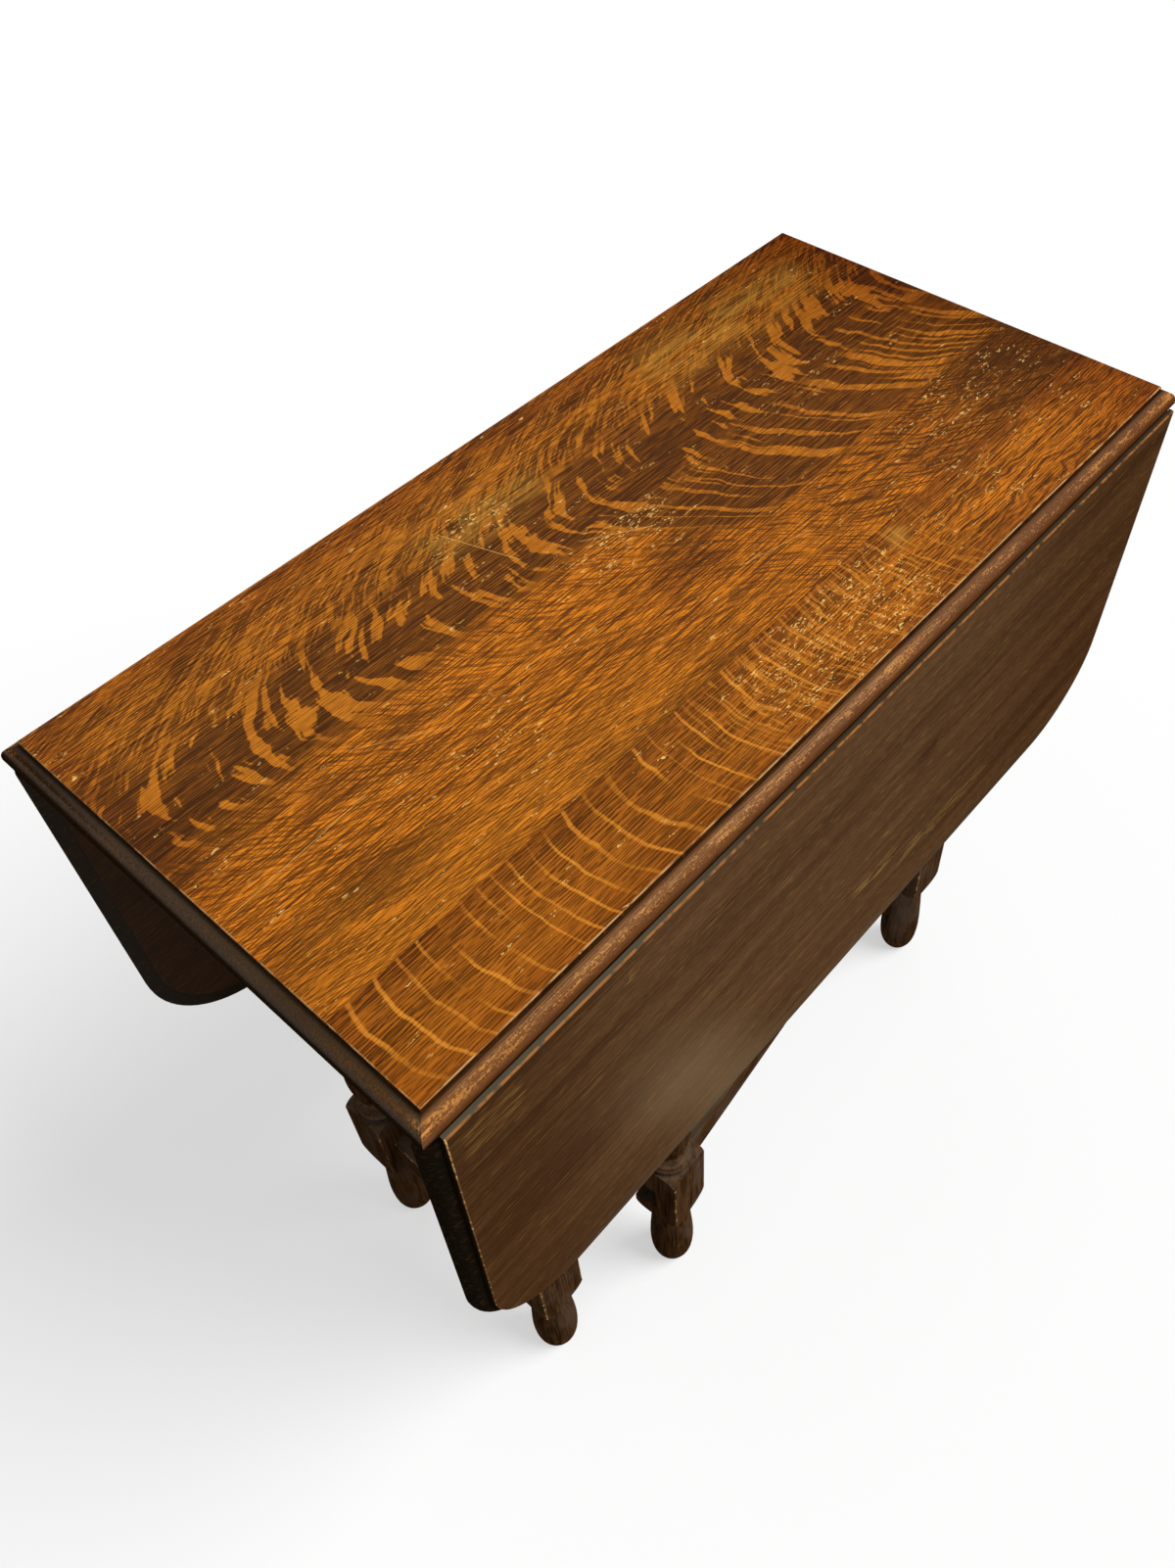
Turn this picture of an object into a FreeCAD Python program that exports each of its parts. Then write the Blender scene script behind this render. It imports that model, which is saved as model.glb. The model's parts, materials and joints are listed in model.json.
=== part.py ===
import FreeCAD, Part
import math
import os

# Gate-leg drop-leaf dining table in oak. Millimetres, +Z up, origin on the floor under the
# middle of the top. X runs along the table, and the front long side faces -Y.
# The top is fixed, its two leaves hang from rule joints, and each leaf has a gate to carry it.

# Top: glued from a wide and a narrow board, with a stepped quarter-round worked on all edges
table_height = 740.0
top_length = 762.0
top_width = 374.0
top_thickness = 16.0
edge_step = 4.5
edge_round = 10.0
narrow_board_width = 80.0

# Leaves: one board each, with straight edges and round corners. Let down, a leaf swings a
# little past the plumb line, because it hangs from pins near its inner face.
leaf_depth = 338.0
leaf_corner_radius = 88.0
leaf_drop_angle = 91.5
rule_gap = 0.5
tip_gap = 0.4

# Underframe: four turned legs joined by rails, all tenoned. The top overhangs it all round.
end_overhang = 79.0
side_overhang = 66.0
leg_square = 44.5
foot_height = 123.0
lower_block_height = 94.0
upper_block_height = 134.0
pommel_height = 13.0
pommel_cut = 8.0
foot_sole_radius = 13.0
foot_belly_radius = 20.5
foot_neck_radius = 15.5
foot_belly_rise = 38.0
rail_thickness = 22.0
apron_height = 75.0
end_stretcher_height = 45.0
long_stretcher_height = 32.0
stretcher_top_rise = 52.0
tenon_thickness = 8.0
tenon_length = 16.0
tenon_shoulder = 6.0
glue_gap = 0.1

# Gates: a turned leg and a pivot post joined by a rail and a stretcher. The pivot stands at a
# share of the legs' spacing from the middle, and the leg at another share of it from the pivot.
gate_pivot_share = 0.25
gate_reach_share = 0.52
gate_post_square = 32.0
gate_rail_thickness = 20.0
gate_rail_height = 38.0
gate_stretcher_height = 32.0
gate_rail_gap = 4.0
gate_tenon_length = 10.0
gate_pin_radius = 4.75
gate_pin_depth = 20.0
pin_clearance = 0.08
gate_end_gap = 0.3
halving_gap = 0.5
halving_side_gap = 1.5
gate_ajar_angle = 6.0
leaf_stop_length = 40.0
leaf_stop_width = 20.0
leaf_stop_thickness = 12.0
leaf_stop_gap = 1.0

# Rule-joint hinges: a short flap under the top, a long one on the leaf, and their pin
hinge_inset = 141.0
hinge_width = 38.0
top_flap_length = 28.0
leaf_flap_length = 42.0
flap_thickness = 1.5
barrel_radius = 3.2
hinge_pin_radius = 1.5
leaf_knuckle_length = 14.4
knuckle_gap = 0.3
barrel_gap = 0.4
flap_fit = 0.2
hinge_pin_gap = 0.05
flap_screw_inset = 8.0
flap_screw_stagger = 10.0
flap_screw_edge = 7.0
flap_screw_length = 12.0
flap_screw_head_radius = 3.4
flap_screw_shank_radius = 1.7

# Buttons: small wooden clips that hold the top down on the aprons
button_inset = 90.0
button_length = 30.0
button_reach = 26.0
button_thickness = 14.0
button_tongue_length = 7.0
button_tongue_thickness = 6.0
button_slot_gap = 0.2
button_screw_length = 24.0
button_screw_head_radius = 4.2
button_screw_shank_radius = 2.1

# Screws: countersunk, slotted and pointed
screw_fit = 0.05
screw_slot_width = 0.9
screw_slot_depth = 0.7

# How far a cut runs past the face that it opens
overrun = 3.0

# Places that follow from the sizes above
underside = table_height - top_thickness
round_start = table_height - edge_step
pin_height = round_start - edge_round
pin_setback = top_width / 2 - edge_round
leg_half = leg_square / 2
leg_x = top_length / 2 - end_overhang - leg_half
leg_y = top_width / 2 - side_overhang - leg_half
lower_block_top = foot_height + lower_block_height
upper_block_bottom = underside - upper_block_height
apron_bottom = underside - apron_height
stretcher_top = foot_height + stretcher_top_rise
end_stretcher_bottom = stretcher_top - end_stretcher_height
long_stretcher_bottom = stretcher_top - long_stretcher_height
pivot_offset = gate_pivot_share * 2 * leg_x
gate_reach = gate_reach_share * 2 * leg_x
gate_leg_x = pivot_offset - gate_reach

# Turning between the two blocks of a leg. Radii are shares of half the leg's square and
# heights are shares of the turned length. A row with one point is a straight line, one with
# two is an arc through the first to the second, and a longer one is a smooth curve.
turning_start_shares = (0.80, 0.0)
turning_shares = [
    [(0.94, 0.0113), (0.80, 0.0226)],
    [(0.85, 0.0226)],
    [(0.85, 0.0280)],
    [(0.72, 0.0300)],
    [(0.60, 0.0400), (0.62, 0.0530)],
    [(0.78, 0.0850), (0.89, 0.1400), (0.83, 0.2300), (0.68, 0.3600), (0.57, 0.5000), (0.52, 0.6200)],
    [(0.60, 0.6200)],
    [(0.71, 0.6320), (0.60, 0.6440)],
    [(0.53, 0.6440)],
    [(0.53, 0.6580)],
    [(0.58, 0.7300), (0.70, 0.8050), (0.80, 0.8500), (0.80, 0.8750), (0.64, 0.9020)],
    [(0.56, 0.9180), (0.66, 0.9380)],
    [(0.80, 0.9420)],
    [(0.80, 0.9600)],
    [(0.94, 0.9800), (0.80, 1.0)],
]

# Foot: a pear on a narrow sole. Radii swell from the sole to the belly and draw in again to the
# neck, by these shares of each swelling, and heights are shares of each rise.
foot_swell_shares = [(0.66, 0.30), (0.93, 0.66)]
foot_draw_shares = [(0.17, 0.28), (0.62, 0.64), (0.93, 0.86)]


def vec(x, y, z):
    return FreeCAD.Vector(x, y, z)


def box_between(x_limits, y_limits, z_limits):
    """Box between two limits along each axis."""
    size = [limits[1] - limits[0] for limits in (x_limits, y_limits, z_limits)]
    corner = vec(x_limits[0], y_limits[0], z_limits[0])
    return Part.makeBox(size[0], size[1], size[2], corner)


def around(centre, half):
    """Limits that lie evenly on both sides of a centre."""
    return (centre - half, centre + half)


def fused(shapes):
    """One clean solid from shapes that meet."""
    joined = shapes[0].multiFuse(shapes[1:]) if len(shapes) > 1 else shapes[0]
    return joined.removeSplitter()


def half_turned(shape):
    """The same shape on the other side of the table, turned half round about the upright axis."""
    copy = shape.copy()
    copy.rotate(vec(0, 0, 0), vec(0, 0, 1), 180)
    return copy


def quarter_turned(shape):
    """The same shape turned a quarter round about the upright axis."""
    copy = shape.copy()
    copy.rotate(vec(0, 0, 0), vec(0, 0, 1), 90)
    return copy


def moved(shape, x, y, z):
    copy = shape.copy()
    copy.translate(vec(x, y, z))
    return copy


# Top

def top_section(half_span, place):
    """Section across the top: square lip, quarter-round, small step and flat field."""
    diagonal = edge_round * math.cos(math.radians(45))
    flat_half = half_span - edge_round
    edges = []
    for side in (1, -1):
        lip = place(side * half_span, underside)
        round_low = place(side * half_span, pin_height)
        round_mid = place(side * (flat_half + diagonal), pin_height + diagonal)
        round_high = place(side * flat_half, round_start)
        field_edge = place(side * flat_half, table_height)
        edges.append(Part.makeLine(lip, round_low))
        edges.append(Part.Arc(round_low, round_mid, round_high).toShape())
        edges.append(Part.makeLine(round_high, field_edge))
    edges.append(Part.makeLine(place(-half_span, underside), place(half_span, underside)))
    edges.append(Part.makeLine(place(-flat_half, table_height), place(flat_half, table_height)))
    return Part.Face(Part.Wire(Part.__sortEdges__(edges)))


def moulded_top():
    """Both long and both short edges carry the moulding, which mitres at the corners."""
    along = top_section(top_width / 2, lambda across, height: vec(-top_length, across, height))
    across = top_section(top_length / 2, lambda along_x, height: vec(along_x, -top_width, height))
    long_run = along.extrude(vec(2 * top_length, 0, 0))
    short_run = across.extrude(vec(0, 2 * top_width, 0))
    return long_run.common(short_run)


def hinge_recess():
    """Room under the front edge of the top for one hinge, at x = 0."""
    width = around(0, hinge_width / 2 + flap_fit)
    flap_top = underside + flap_thickness
    plate = box_between(
        width,
        (-pin_setback, -pin_setback + top_flap_length + flap_fit),
        (underside - overrun, flap_top),
    )
    lip = box_between(
        width,
        (-pin_setback - edge_round - overrun, -pin_setback),
        (underside - overrun, flap_top + flap_fit),
    )
    groove = Part.makeCylinder(
        barrel_radius + barrel_gap,
        hinge_width + 2 * flap_fit,
        vec(width[0], -pin_setback, pin_height),
        vec(1, 0, 0),
    )
    return fused([plate, lip, groove])


def top_boards(screw_holes):
    """Wide and narrow board of the top, cut for the hinges and bored for the screws."""
    slab = moulded_top()
    cutters = []
    for x in hinge_places():
        recess = moved(hinge_recess(), x, 0, 0)
        cutters += [recess, half_turned(recess)]
    slab = slab.cut(cutters + screw_holes)
    glue_line = -top_width / 2 + narrow_board_width
    whole_length = around(0, top_length)
    whole_height = (underside - overrun, table_height + overrun)
    narrow_side = box_between(whole_length, (-top_width, glue_line), whole_height)
    wide_side = box_between(whole_length, (glue_line, top_width), whole_height)
    return slab.common(wide_side), slab.common(narrow_side)


# Leaves, drawn raised and level with the top, then let down about the hinge pins

def leaf_outline(inset, height):
    """Plan of the front leaf, drawn inset by a distance all round but at the hinge edge."""
    half_length = top_length / 2 - inset
    radius = leaf_corner_radius - inset
    corner_out = leaf_depth - leaf_corner_radius
    corner_x = top_length / 2 - leaf_corner_radius

    def at(x, outward):
        return vec(x, -pin_setback - outward, height)

    def on_corner(side, degrees):
        angle = math.radians(degrees)
        return at(side * (corner_x + radius * math.cos(angle)), corner_out + radius * math.sin(angle))

    edges = [
        Part.makeLine(at(-half_length, tip_gap), at(half_length, tip_gap)),
        Part.makeLine(on_corner(-1, 90), on_corner(1, 90)),
    ]
    for side in (1, -1):
        edges.append(Part.makeLine(at(side * half_length, tip_gap), on_corner(side, 0)))
        corner = Part.Arc(on_corner(side, 0), on_corner(side, 45), on_corner(side, 90))
        edges.append(corner.toShape())
    return Part.Wire(Part.__sortEdges__(edges))


def leaf_slab():
    """Raised leaf: quarter-round and step outside, cove of the rule joint at the hinge edge."""
    body = Part.Face(leaf_outline(0, underside)).extrude(vec(0, 0, round_start - underside))
    hinge_line = -pin_setback - tip_gap
    rim = []
    for edge in body.Edges:
        limits = edge.BoundBox
        level = math.isclose(limits.ZMin, round_start) and math.isclose(limits.ZMax, round_start)
        at_hinge = math.isclose(limits.YMin, hinge_line, abs_tol=tip_gap / 2)
        if level and not at_hinge:
            rim.append(edge)
    body = body.makeFillet(edge_round, rim)
    field = Part.Face(leaf_outline(edge_round, round_start)).extrude(vec(0, 0, edge_step))
    cove_radius = edge_round + rule_gap
    cove = Part.makeCylinder(
        cove_radius, 2 * top_length, vec(-top_length, -pin_setback, pin_height), vec(1, 0, 0)
    )
    below_pin = box_between(
        around(0, top_length),
        around(-pin_setback, cove_radius),
        (underside - overrun, pin_height),
    )
    return fused([body, field]).cut([cove, below_pin])


def let_down(shape):
    """Hanging position of a piece drawn on the raised front leaf."""
    copy = shape.copy()
    copy.rotate(vec(0, -pin_setback, pin_height), vec(1, 0, 0), leaf_drop_angle)
    return copy


def leaf(screw_holes):
    """Front leaf, hanging, with the hinge flaps let in flush on its inner face."""
    recesses = []
    for x in hinge_places():
        recesses.append(box_between(
            around(x, hinge_width / 2 + flap_fit),
            (-pin_setback - leaf_flap_length - flap_fit, -pin_setback),
            (underside - overrun, underside + flap_thickness),
        ))
    return let_down(leaf_slab().cut(recesses + screw_holes))


def leaf_stop():
    """Block under the front leaf that the opened gate leg comes to rest against."""
    near_side = pivot_offset + leg_half + leaf_stop_gap
    block = box_between(
        (near_side, near_side + leaf_stop_width),
        around(-leg_y - gate_reach, leaf_stop_length / 2),
        (underside - leaf_stop_thickness, underside),
    )
    upright = [
        edge for edge in block.Edges
        if math.isclose(edge.BoundBox.ZLength, leaf_stop_thickness)
    ]
    return let_down(block.makeFillet(leaf_stop_width / 4, upright))


# Rule-joint hinges of the front leaf

def hinge_places():
    return around(0, top_length / 2 - hinge_inset)


def knuckle(x_limits):
    """Rolled knuckle with its bore, between two places along the pin line."""
    start = vec(x_limits[0], -pin_setback, pin_height)
    length = x_limits[1] - x_limits[0]
    barrel = Part.makeCylinder(barrel_radius, length, start, vec(1, 0, 0))
    bore = Part.makeCylinder(hinge_pin_radius + hinge_pin_gap, length, start, vec(1, 0, 0))
    return barrel, bore


def top_flap():
    """Short flap under the top, with the two outer knuckles, at x = 0."""
    half = hinge_width / 2
    knuckle_half = leaf_knuckle_length / 2 + knuckle_gap
    plate = box_between(
        (-half, half),
        (-pin_setback, -pin_setback + top_flap_length),
        (underside, underside + flap_thickness),
    )
    middle = box_between(
        (-knuckle_half, knuckle_half),
        around(-pin_setback, barrel_radius + barrel_gap),
        around(pin_height, barrel_radius + overrun),
    )
    barrels, bores = zip(knuckle((-half, -knuckle_half)), knuckle((knuckle_half, half)))
    holes = [hole for _, hole in top_flap_screws(0)]
    return fused([plate.cut(middle), *barrels]).cut([*bores, *holes])


def leaf_flap():
    """Long flap on the raised leaf, with the middle knuckle, at x = 0."""
    half = hinge_width / 2
    knuckle_half = leaf_knuckle_length / 2
    plate = box_between(
        (-half, half),
        (-pin_setback - leaf_flap_length, -pin_setback),
        (underside, underside + flap_thickness),
    )
    outer = [
        box_between(
            limits,
            around(-pin_setback, barrel_radius + barrel_gap),
            around(pin_height, barrel_radius + overrun),
        )
        for limits in ((-half, -knuckle_half), (knuckle_half, half))
    ]
    barrel, bore = knuckle((-knuckle_half, knuckle_half))
    holes = [hole for _, hole in leaf_flap_screws(0)]
    return fused([plate.cut(outer), barrel]).cut([bore, *holes])


def hinge_pin():
    """Pin through all three knuckles, at x = 0."""
    start = vec(-hinge_width / 2, -pin_setback, pin_height)
    return Part.makeCylinder(hinge_pin_radius, hinge_width, start, vec(1, 0, 0))


# Screws: each is drawn with the hole that it fills

def wood_screw(head_radius, shank_radius, length):
    """Slotted countersunk screw, head down at z = 0, and its hole with a little play."""
    def turned(play):
        rim = head_radius + play
        shank = shank_radius + play
        points = [
            vec(0, 0, 0),
            vec(rim, 0, 0),
            vec(shank, 0, head_radius - shank_radius),
            vec(shank, 0, length - head_radius),
            vec(0, 0, length + play),
            vec(0, 0, 0),
        ]
        return Part.Face(Part.makePolygon(points)).revolve(vec(0, 0, 0), vec(0, 0, 1), 360)

    slot = box_between(
        around(0, head_radius + overrun),
        around(0, screw_slot_width / 2),
        (-overrun, screw_slot_depth),
    )
    return turned(0).cut(slot), turned(screw_fit)


def placed_screws(places, size, height):
    """Pairs of screw and hole at places in plan, with their heads at one height."""
    screw, hole = wood_screw(*size)
    return [(moved(screw, x, y, height), moved(hole, x, y, height)) for x, y in places]


def flap_screw_size():
    return (flap_screw_head_radius, flap_screw_shank_radius, flap_screw_length)


def flap_screw_rows(x, flap_length, side):
    """Two screws near the flap's end and one set back between them."""
    end_row = -pin_setback + side * (flap_length - flap_screw_inset)
    back_row = end_row - side * flap_screw_stagger
    reach = hinge_width / 2 - flap_screw_edge
    return [(x - reach, end_row), (x, back_row), (x + reach, end_row)]


def top_flap_screws(x):
    return placed_screws(flap_screw_rows(x, top_flap_length, 1), flap_screw_size(), underside)


def leaf_flap_screws(x):
    return placed_screws(flap_screw_rows(x, leaf_flap_length, -1), flap_screw_size(), underside)


# Legs

def turned_wire(start, rows):
    """Edges of a turned outline from rows of points: line, arc or smooth curve."""
    edges = []
    here = start
    for row in rows:
        points = [here] + row
        if len(row) == 1:
            edges.append(Part.makeLine(points[0], points[1]))
        elif len(row) == 2:
            edges.append(Part.Arc(points[0], points[1], points[2]).toShape())
        else:
            curve = Part.BSplineCurve()
            curve.interpolate(points)
            edges.append(curve.toShape())
        here = row[-1]
    return edges


def spun(edges, bottom, top):
    """Solid turned from an outline that starts at one height and ends at another."""
    first = edges[0].Vertexes[0].Point
    last = edges[-1].Vertexes[-1].Point
    axis_low = vec(0, 0, bottom)
    axis_high = vec(0, 0, top)
    closed = [Part.makeLine(axis_low, first)] + edges
    closed += [Part.makeLine(last, axis_high), Part.makeLine(axis_high, axis_low)]
    face = Part.Face(Part.Wire(Part.__sortEdges__(closed)))
    return face.revolve(axis_low, vec(0, 0, 1), 360)


def turning():
    """Torus, cove and vase between the leg's two blocks."""
    length = upper_block_bottom - lower_block_top

    def at(shares):
        return vec(shares[0] * leg_half, 0, lower_block_top + shares[1] * length)

    rows = [[at(point) for point in row] for row in turning_shares]
    return spun(turned_wire(at(turning_start_shares), rows), lower_block_top, upper_block_bottom)


def foot():
    """Pear-shaped foot from the floor up to the lower block."""
    swell = foot_belly_radius - foot_sole_radius
    draw = foot_belly_radius - foot_neck_radius
    neck_rise = foot_height - foot_belly_rise
    points = [
        vec(foot_sole_radius + out * swell, 0, up * foot_belly_rise)
        for out, up in foot_swell_shares
    ]
    points.append(vec(foot_belly_radius, 0, foot_belly_rise))
    points += [
        vec(foot_belly_radius - back * draw, 0, foot_belly_rise + up * neck_rise)
        for back, up in foot_draw_shares
    ]
    points.append(vec(foot_neck_radius, 0, foot_height))
    return spun(turned_wire(vec(foot_sole_radius, 0, 0), [points]), 0, foot_height)


def leg_block(bottom, top, top_rounded):
    """Square block of a leg. The turner rounds its corners off where it meets turned work."""
    block = box_between(around(0, leg_half), around(0, leg_half), (bottom, top))
    corner = leg_half * math.sqrt(2)
    beyond = corner + overrun
    slant = 1 - math.cos(math.radians(45))
    arc_radius = corner - slant * pommel_cut
    low_shoulder = bottom + pommel_height
    rows = [
        [vec(arc_radius, 0, bottom + slant * pommel_height), vec(corner, 0, low_shoulder)],
        [vec(beyond, 0, low_shoulder)],
    ]
    if top_rounded:
        high_shoulder = top - pommel_height
        rows += [
            [vec(beyond, 0, high_shoulder)],
            [vec(corner, 0, high_shoulder)],
            [vec(arc_radius, 0, top - slant * pommel_height), vec(corner - pommel_cut, 0, top)],
        ]
    else:
        rows.append([vec(beyond, 0, top)])
    start = vec(corner - pommel_cut, 0, bottom)
    return block.common(spun(turned_wire(start, rows), bottom, top))


def leg(top):
    """Turned leg on the upright axis, from the floor to a given height."""
    lower = leg_block(foot_height, lower_block_top, True)
    upper = leg_block(upper_block_bottom, top, False)
    return fused([foot(), lower, turning(), upper])


def frame_leg(x_side, y_side, mortises):
    place = moved(leg(underside), x_side * leg_x, y_side * leg_y, 0)
    return place.cut(mortises)


# Rails, drawn along X about the upright axis

def tenons(span, z_limits, length, play):
    """Tenon at each end of a rail, or the mortises for them when there is play."""
    ends = []
    for side in (1, -1):
        shoulder = side * (span / 2 - play)
        tip = side * (span / 2 + length + play)
        ends.append(box_between(
            (min(shoulder, tip), max(shoulder, tip)),
            around(0, tenon_thickness / 2 + play),
            (z_limits[0] + tenon_shoulder - play, z_limits[1] - tenon_shoulder + play),
        ))
    return ends


def rail(span, thickness, z_limits, length):
    """Square-edged rail with a tenon at each end."""
    bar = box_between(around(0, span / 2), around(0, thickness / 2), z_limits)
    return fused([bar] + tenons(span, z_limits, length, 0))


def long_rail_heights():
    return ((apron_bottom, underside), (long_stretcher_bottom, stretcher_top))


def end_rail_heights():
    return ((apron_bottom, underside), (end_stretcher_bottom, stretcher_top))


def long_span():
    return 2 * leg_x - leg_square


def short_span():
    return 2 * leg_y - leg_square


def frame_mortises():
    """Every mortise in the four frame legs."""
    cutters = []
    for z_limits in long_rail_heights():
        for cutter in tenons(long_span(), z_limits, tenon_length, glue_gap):
            cutters += [moved(cutter, 0, side * leg_y, 0) for side in (1, -1)]
    for z_limits in end_rail_heights():
        for cutter in tenons(short_span(), z_limits, tenon_length, glue_gap):
            turned = quarter_turned(cutter)
            cutters += [moved(turned, side * leg_x, 0, 0) for side in (1, -1)]
    return cutters


def halving(z_limits):
    """Half-lap in the outer half of a front rail, where the closed gate leg is housed."""
    return box_between(
        around(gate_leg_x, leg_half + halving_side_gap),
        (-leg_y - rail_thickness, -leg_y),
        (z_limits[0] - overrun, z_limits[1] + overrun),
    )


def pivot_bore(z_limits):
    """Hole for a gate pin, on the front gate's pivot line."""
    return Part.makeCylinder(
        gate_pin_radius + pin_clearance,
        z_limits[1] - z_limits[0],
        vec(pivot_offset, -leg_y, z_limits[0]),
        vec(0, 0, 1),
    )


def front_apron():
    """Apron with its half-lap, the upper pivot hole and the slots for two buttons."""
    bar = moved(rail(long_span(), rail_thickness, long_rail_heights()[0], tenon_length), 0, -leg_y, 0)
    bore = pivot_bore((apron_bottom - overrun, apron_bottom - gate_end_gap + gate_pin_depth + halving_gap))
    slots = [button_slot(x, -leg_y + rail_thickness / 2) for x in button_places()]
    return bar.cut([halving((apron_bottom, underside)), bore] + slots)


def front_stretcher():
    """Long stretcher with its half-lap and the lower pivot hole."""
    bar = moved(rail(long_span(), rail_thickness, long_rail_heights()[1], tenon_length), 0, -leg_y, 0)
    bore = pivot_bore((stretcher_top + gate_end_gap - gate_pin_depth - halving_gap, stretcher_top + overrun))
    return bar.cut([halving((long_stretcher_bottom, stretcher_top)), bore])


def right_apron():
    """Short apron with the slot for its one button, on the right-hand end."""
    bar = rail(short_span(), rail_thickness, end_rail_heights()[0], tenon_length)
    bar = bar.cut(button_slot(0, rail_thickness / 2))
    return moved(quarter_turned(bar), leg_x, 0, 0)


def right_stretcher():
    bar = rail(short_span(), rail_thickness, end_rail_heights()[1], tenon_length)
    return moved(quarter_turned(bar), leg_x, 0, 0)


# Buttons, drawn against a rail along X whose inner face is at a given y

def button_parts(x, inner_face):
    """Button with its tongue in the rail, and its screw with the hole."""
    bottom = underside - button_thickness
    body = box_between(
        around(x, button_length / 2),
        (inner_face + button_slot_gap, inner_face + button_reach),
        (bottom, underside),
    )
    tongue = box_between(
        around(x, button_length / 2),
        (inner_face - button_tongue_length, inner_face + button_slot_gap),
        (bottom, bottom + button_tongue_thickness),
    )
    size = (button_screw_head_radius, button_screw_shank_radius, button_screw_length)
    screw, hole = placed_screws([(x, inner_face + button_reach / 2)], size, bottom)[0]
    return fused([body, tongue]).cut(hole), screw, hole


def button_places():
    return around(0, leg_x - button_inset)


def button_slot(x, inner_face):
    """Slot in the rail for a button's tongue."""
    bottom = underside - button_thickness
    return box_between(
        around(x, button_length / 2 + button_slot_gap),
        (inner_face - button_tongue_length - button_slot_gap, inner_face + overrun),
        (bottom - button_slot_gap, bottom + button_tongue_thickness + button_slot_gap),
    )


def all_buttons():
    """Six buttons: two on each long apron and one on each short one."""
    front_face = -leg_y + rail_thickness / 2
    found = [button_parts(x, front_face) for x in button_places()]
    end = button_parts(0, rail_thickness / 2)
    found.append([moved(quarter_turned(shape), leg_x, 0, 0) for shape in end])
    found += [[half_turned(shape) for shape in parts] for parts in found]
    return found


# Gates, drawn closed on the front side

def gate_rail_span():
    return gate_reach - leg_half - gate_post_square / 2


def gate_rail_centre():
    return gate_leg_x + leg_half + gate_rail_span() / 2


def gate_rail_heights():
    rail_top = apron_bottom - gate_rail_gap
    stretcher_low = stretcher_top + gate_rail_gap
    return (
        (rail_top - gate_rail_height, rail_top),
        (stretcher_low, stretcher_low + gate_stretcher_height),
    )


def gate_mortises():
    cutters = []
    for z_limits in gate_rail_heights():
        for cutter in tenons(gate_rail_span(), z_limits, gate_tenon_length, glue_gap):
            cutters.append(moved(cutter, gate_rail_centre(), -leg_y, 0))
    return cutters


def gate_rail(z_limits):
    bar = rail(gate_rail_span(), gate_rail_thickness, z_limits, gate_tenon_length)
    return moved(bar, gate_rail_centre(), -leg_y, 0)


def gate_leg():
    """Turned leg, lapped at both blocks so that it closes over the frame's rails."""
    blank = moved(leg(underside - gate_end_gap), gate_leg_x, -leg_y, 0)
    inner_half = (-leg_y - halving_gap, -leg_y + leg_square)
    width = around(gate_leg_x, leg_half + overrun)
    laps = [
        box_between(width, inner_half, (apron_bottom - halving_side_gap, underside + overrun)),
        box_between(
            width,
            inner_half,
            (long_stretcher_bottom - halving_side_gap, stretcher_top + halving_side_gap),
        ),
    ]
    return blank.cut(laps + gate_mortises())


def gate_post_limits():
    return (stretcher_top + gate_end_gap, apron_bottom - gate_end_gap)


def gate_pin(face):
    """Hardwood pin, half in the post's end and half in the rail that carries it."""
    return Part.makeCylinder(
        gate_pin_radius,
        2 * gate_pin_depth,
        vec(pivot_offset, -leg_y, face - gate_pin_depth),
        vec(0, 0, 1),
    )


def gate_post():
    """Square pivot post between the long stretcher and the apron."""
    half = gate_post_square / 2
    low, high = gate_post_limits()
    post = box_between(around(pivot_offset, half), around(-leg_y, half), (low, high))
    holes = [
        pivot_bore((low - overrun, low + gate_pin_depth + glue_gap)),
        pivot_bore((high - gate_pin_depth - glue_gap, high + overrun)),
    ]
    return post.cut(gate_mortises() + holes)


def gate_pieces():
    """Every piece of one gate by its name, closed on the front side."""
    rail_limits, stretcher_limits = gate_rail_heights()
    low, high = gate_post_limits()
    return {
        "gate_leg": gate_leg(),
        "gate_post": gate_post(),
        "gate_rail": gate_rail(rail_limits),
        "gate_stretcher": gate_rail(stretcher_limits),
        "gate_pin_lower": gate_pin(low),
        "gate_pin_upper": gate_pin(high),
    }


def swung(shape, angle):
    """Front gate piece swung out about its pivot line."""
    copy = shape.copy()
    copy.rotate(vec(pivot_offset, -leg_y, 0), vec(0, 0, 1), angle)
    return copy


# The whole table

def hinge_pieces():
    """Front hinges by name, with all the screws and the holes that the two boards need."""
    pieces = {}
    top_screws = []
    leaf_screws = []
    for side, x in zip(("left", "right"), hinge_places()):
        pieces["hinge_top_flap_front_" + side] = moved(top_flap(), x, 0, 0)
        pieces["hinge_leaf_flap_front_" + side] = let_down(moved(leaf_flap(), x, 0, 0))
        pieces["hinge_pin_front_" + side] = moved(hinge_pin(), x, 0, 0)
        top_screws += top_flap_screws(x)
        leaf_screws += leaf_flap_screws(x)
    pieces["hinge_top_screws_front"] = Part.makeCompound([screw for screw, _ in top_screws])
    pieces["hinge_leaf_screws_front"] = Part.makeCompound([let_down(screw) for screw, _ in leaf_screws])
    return pieces, [hole for _, hole in top_screws], [hole for _, hole in leaf_screws]


def rear_name(front_name):
    """Name of the piece across the table. Half a turn also swaps left and right."""
    swapped = {"front": "rear", "left": "right", "right": "left"}
    return "_".join(swapped.get(word, word) for word in front_name.split("_"))


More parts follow.
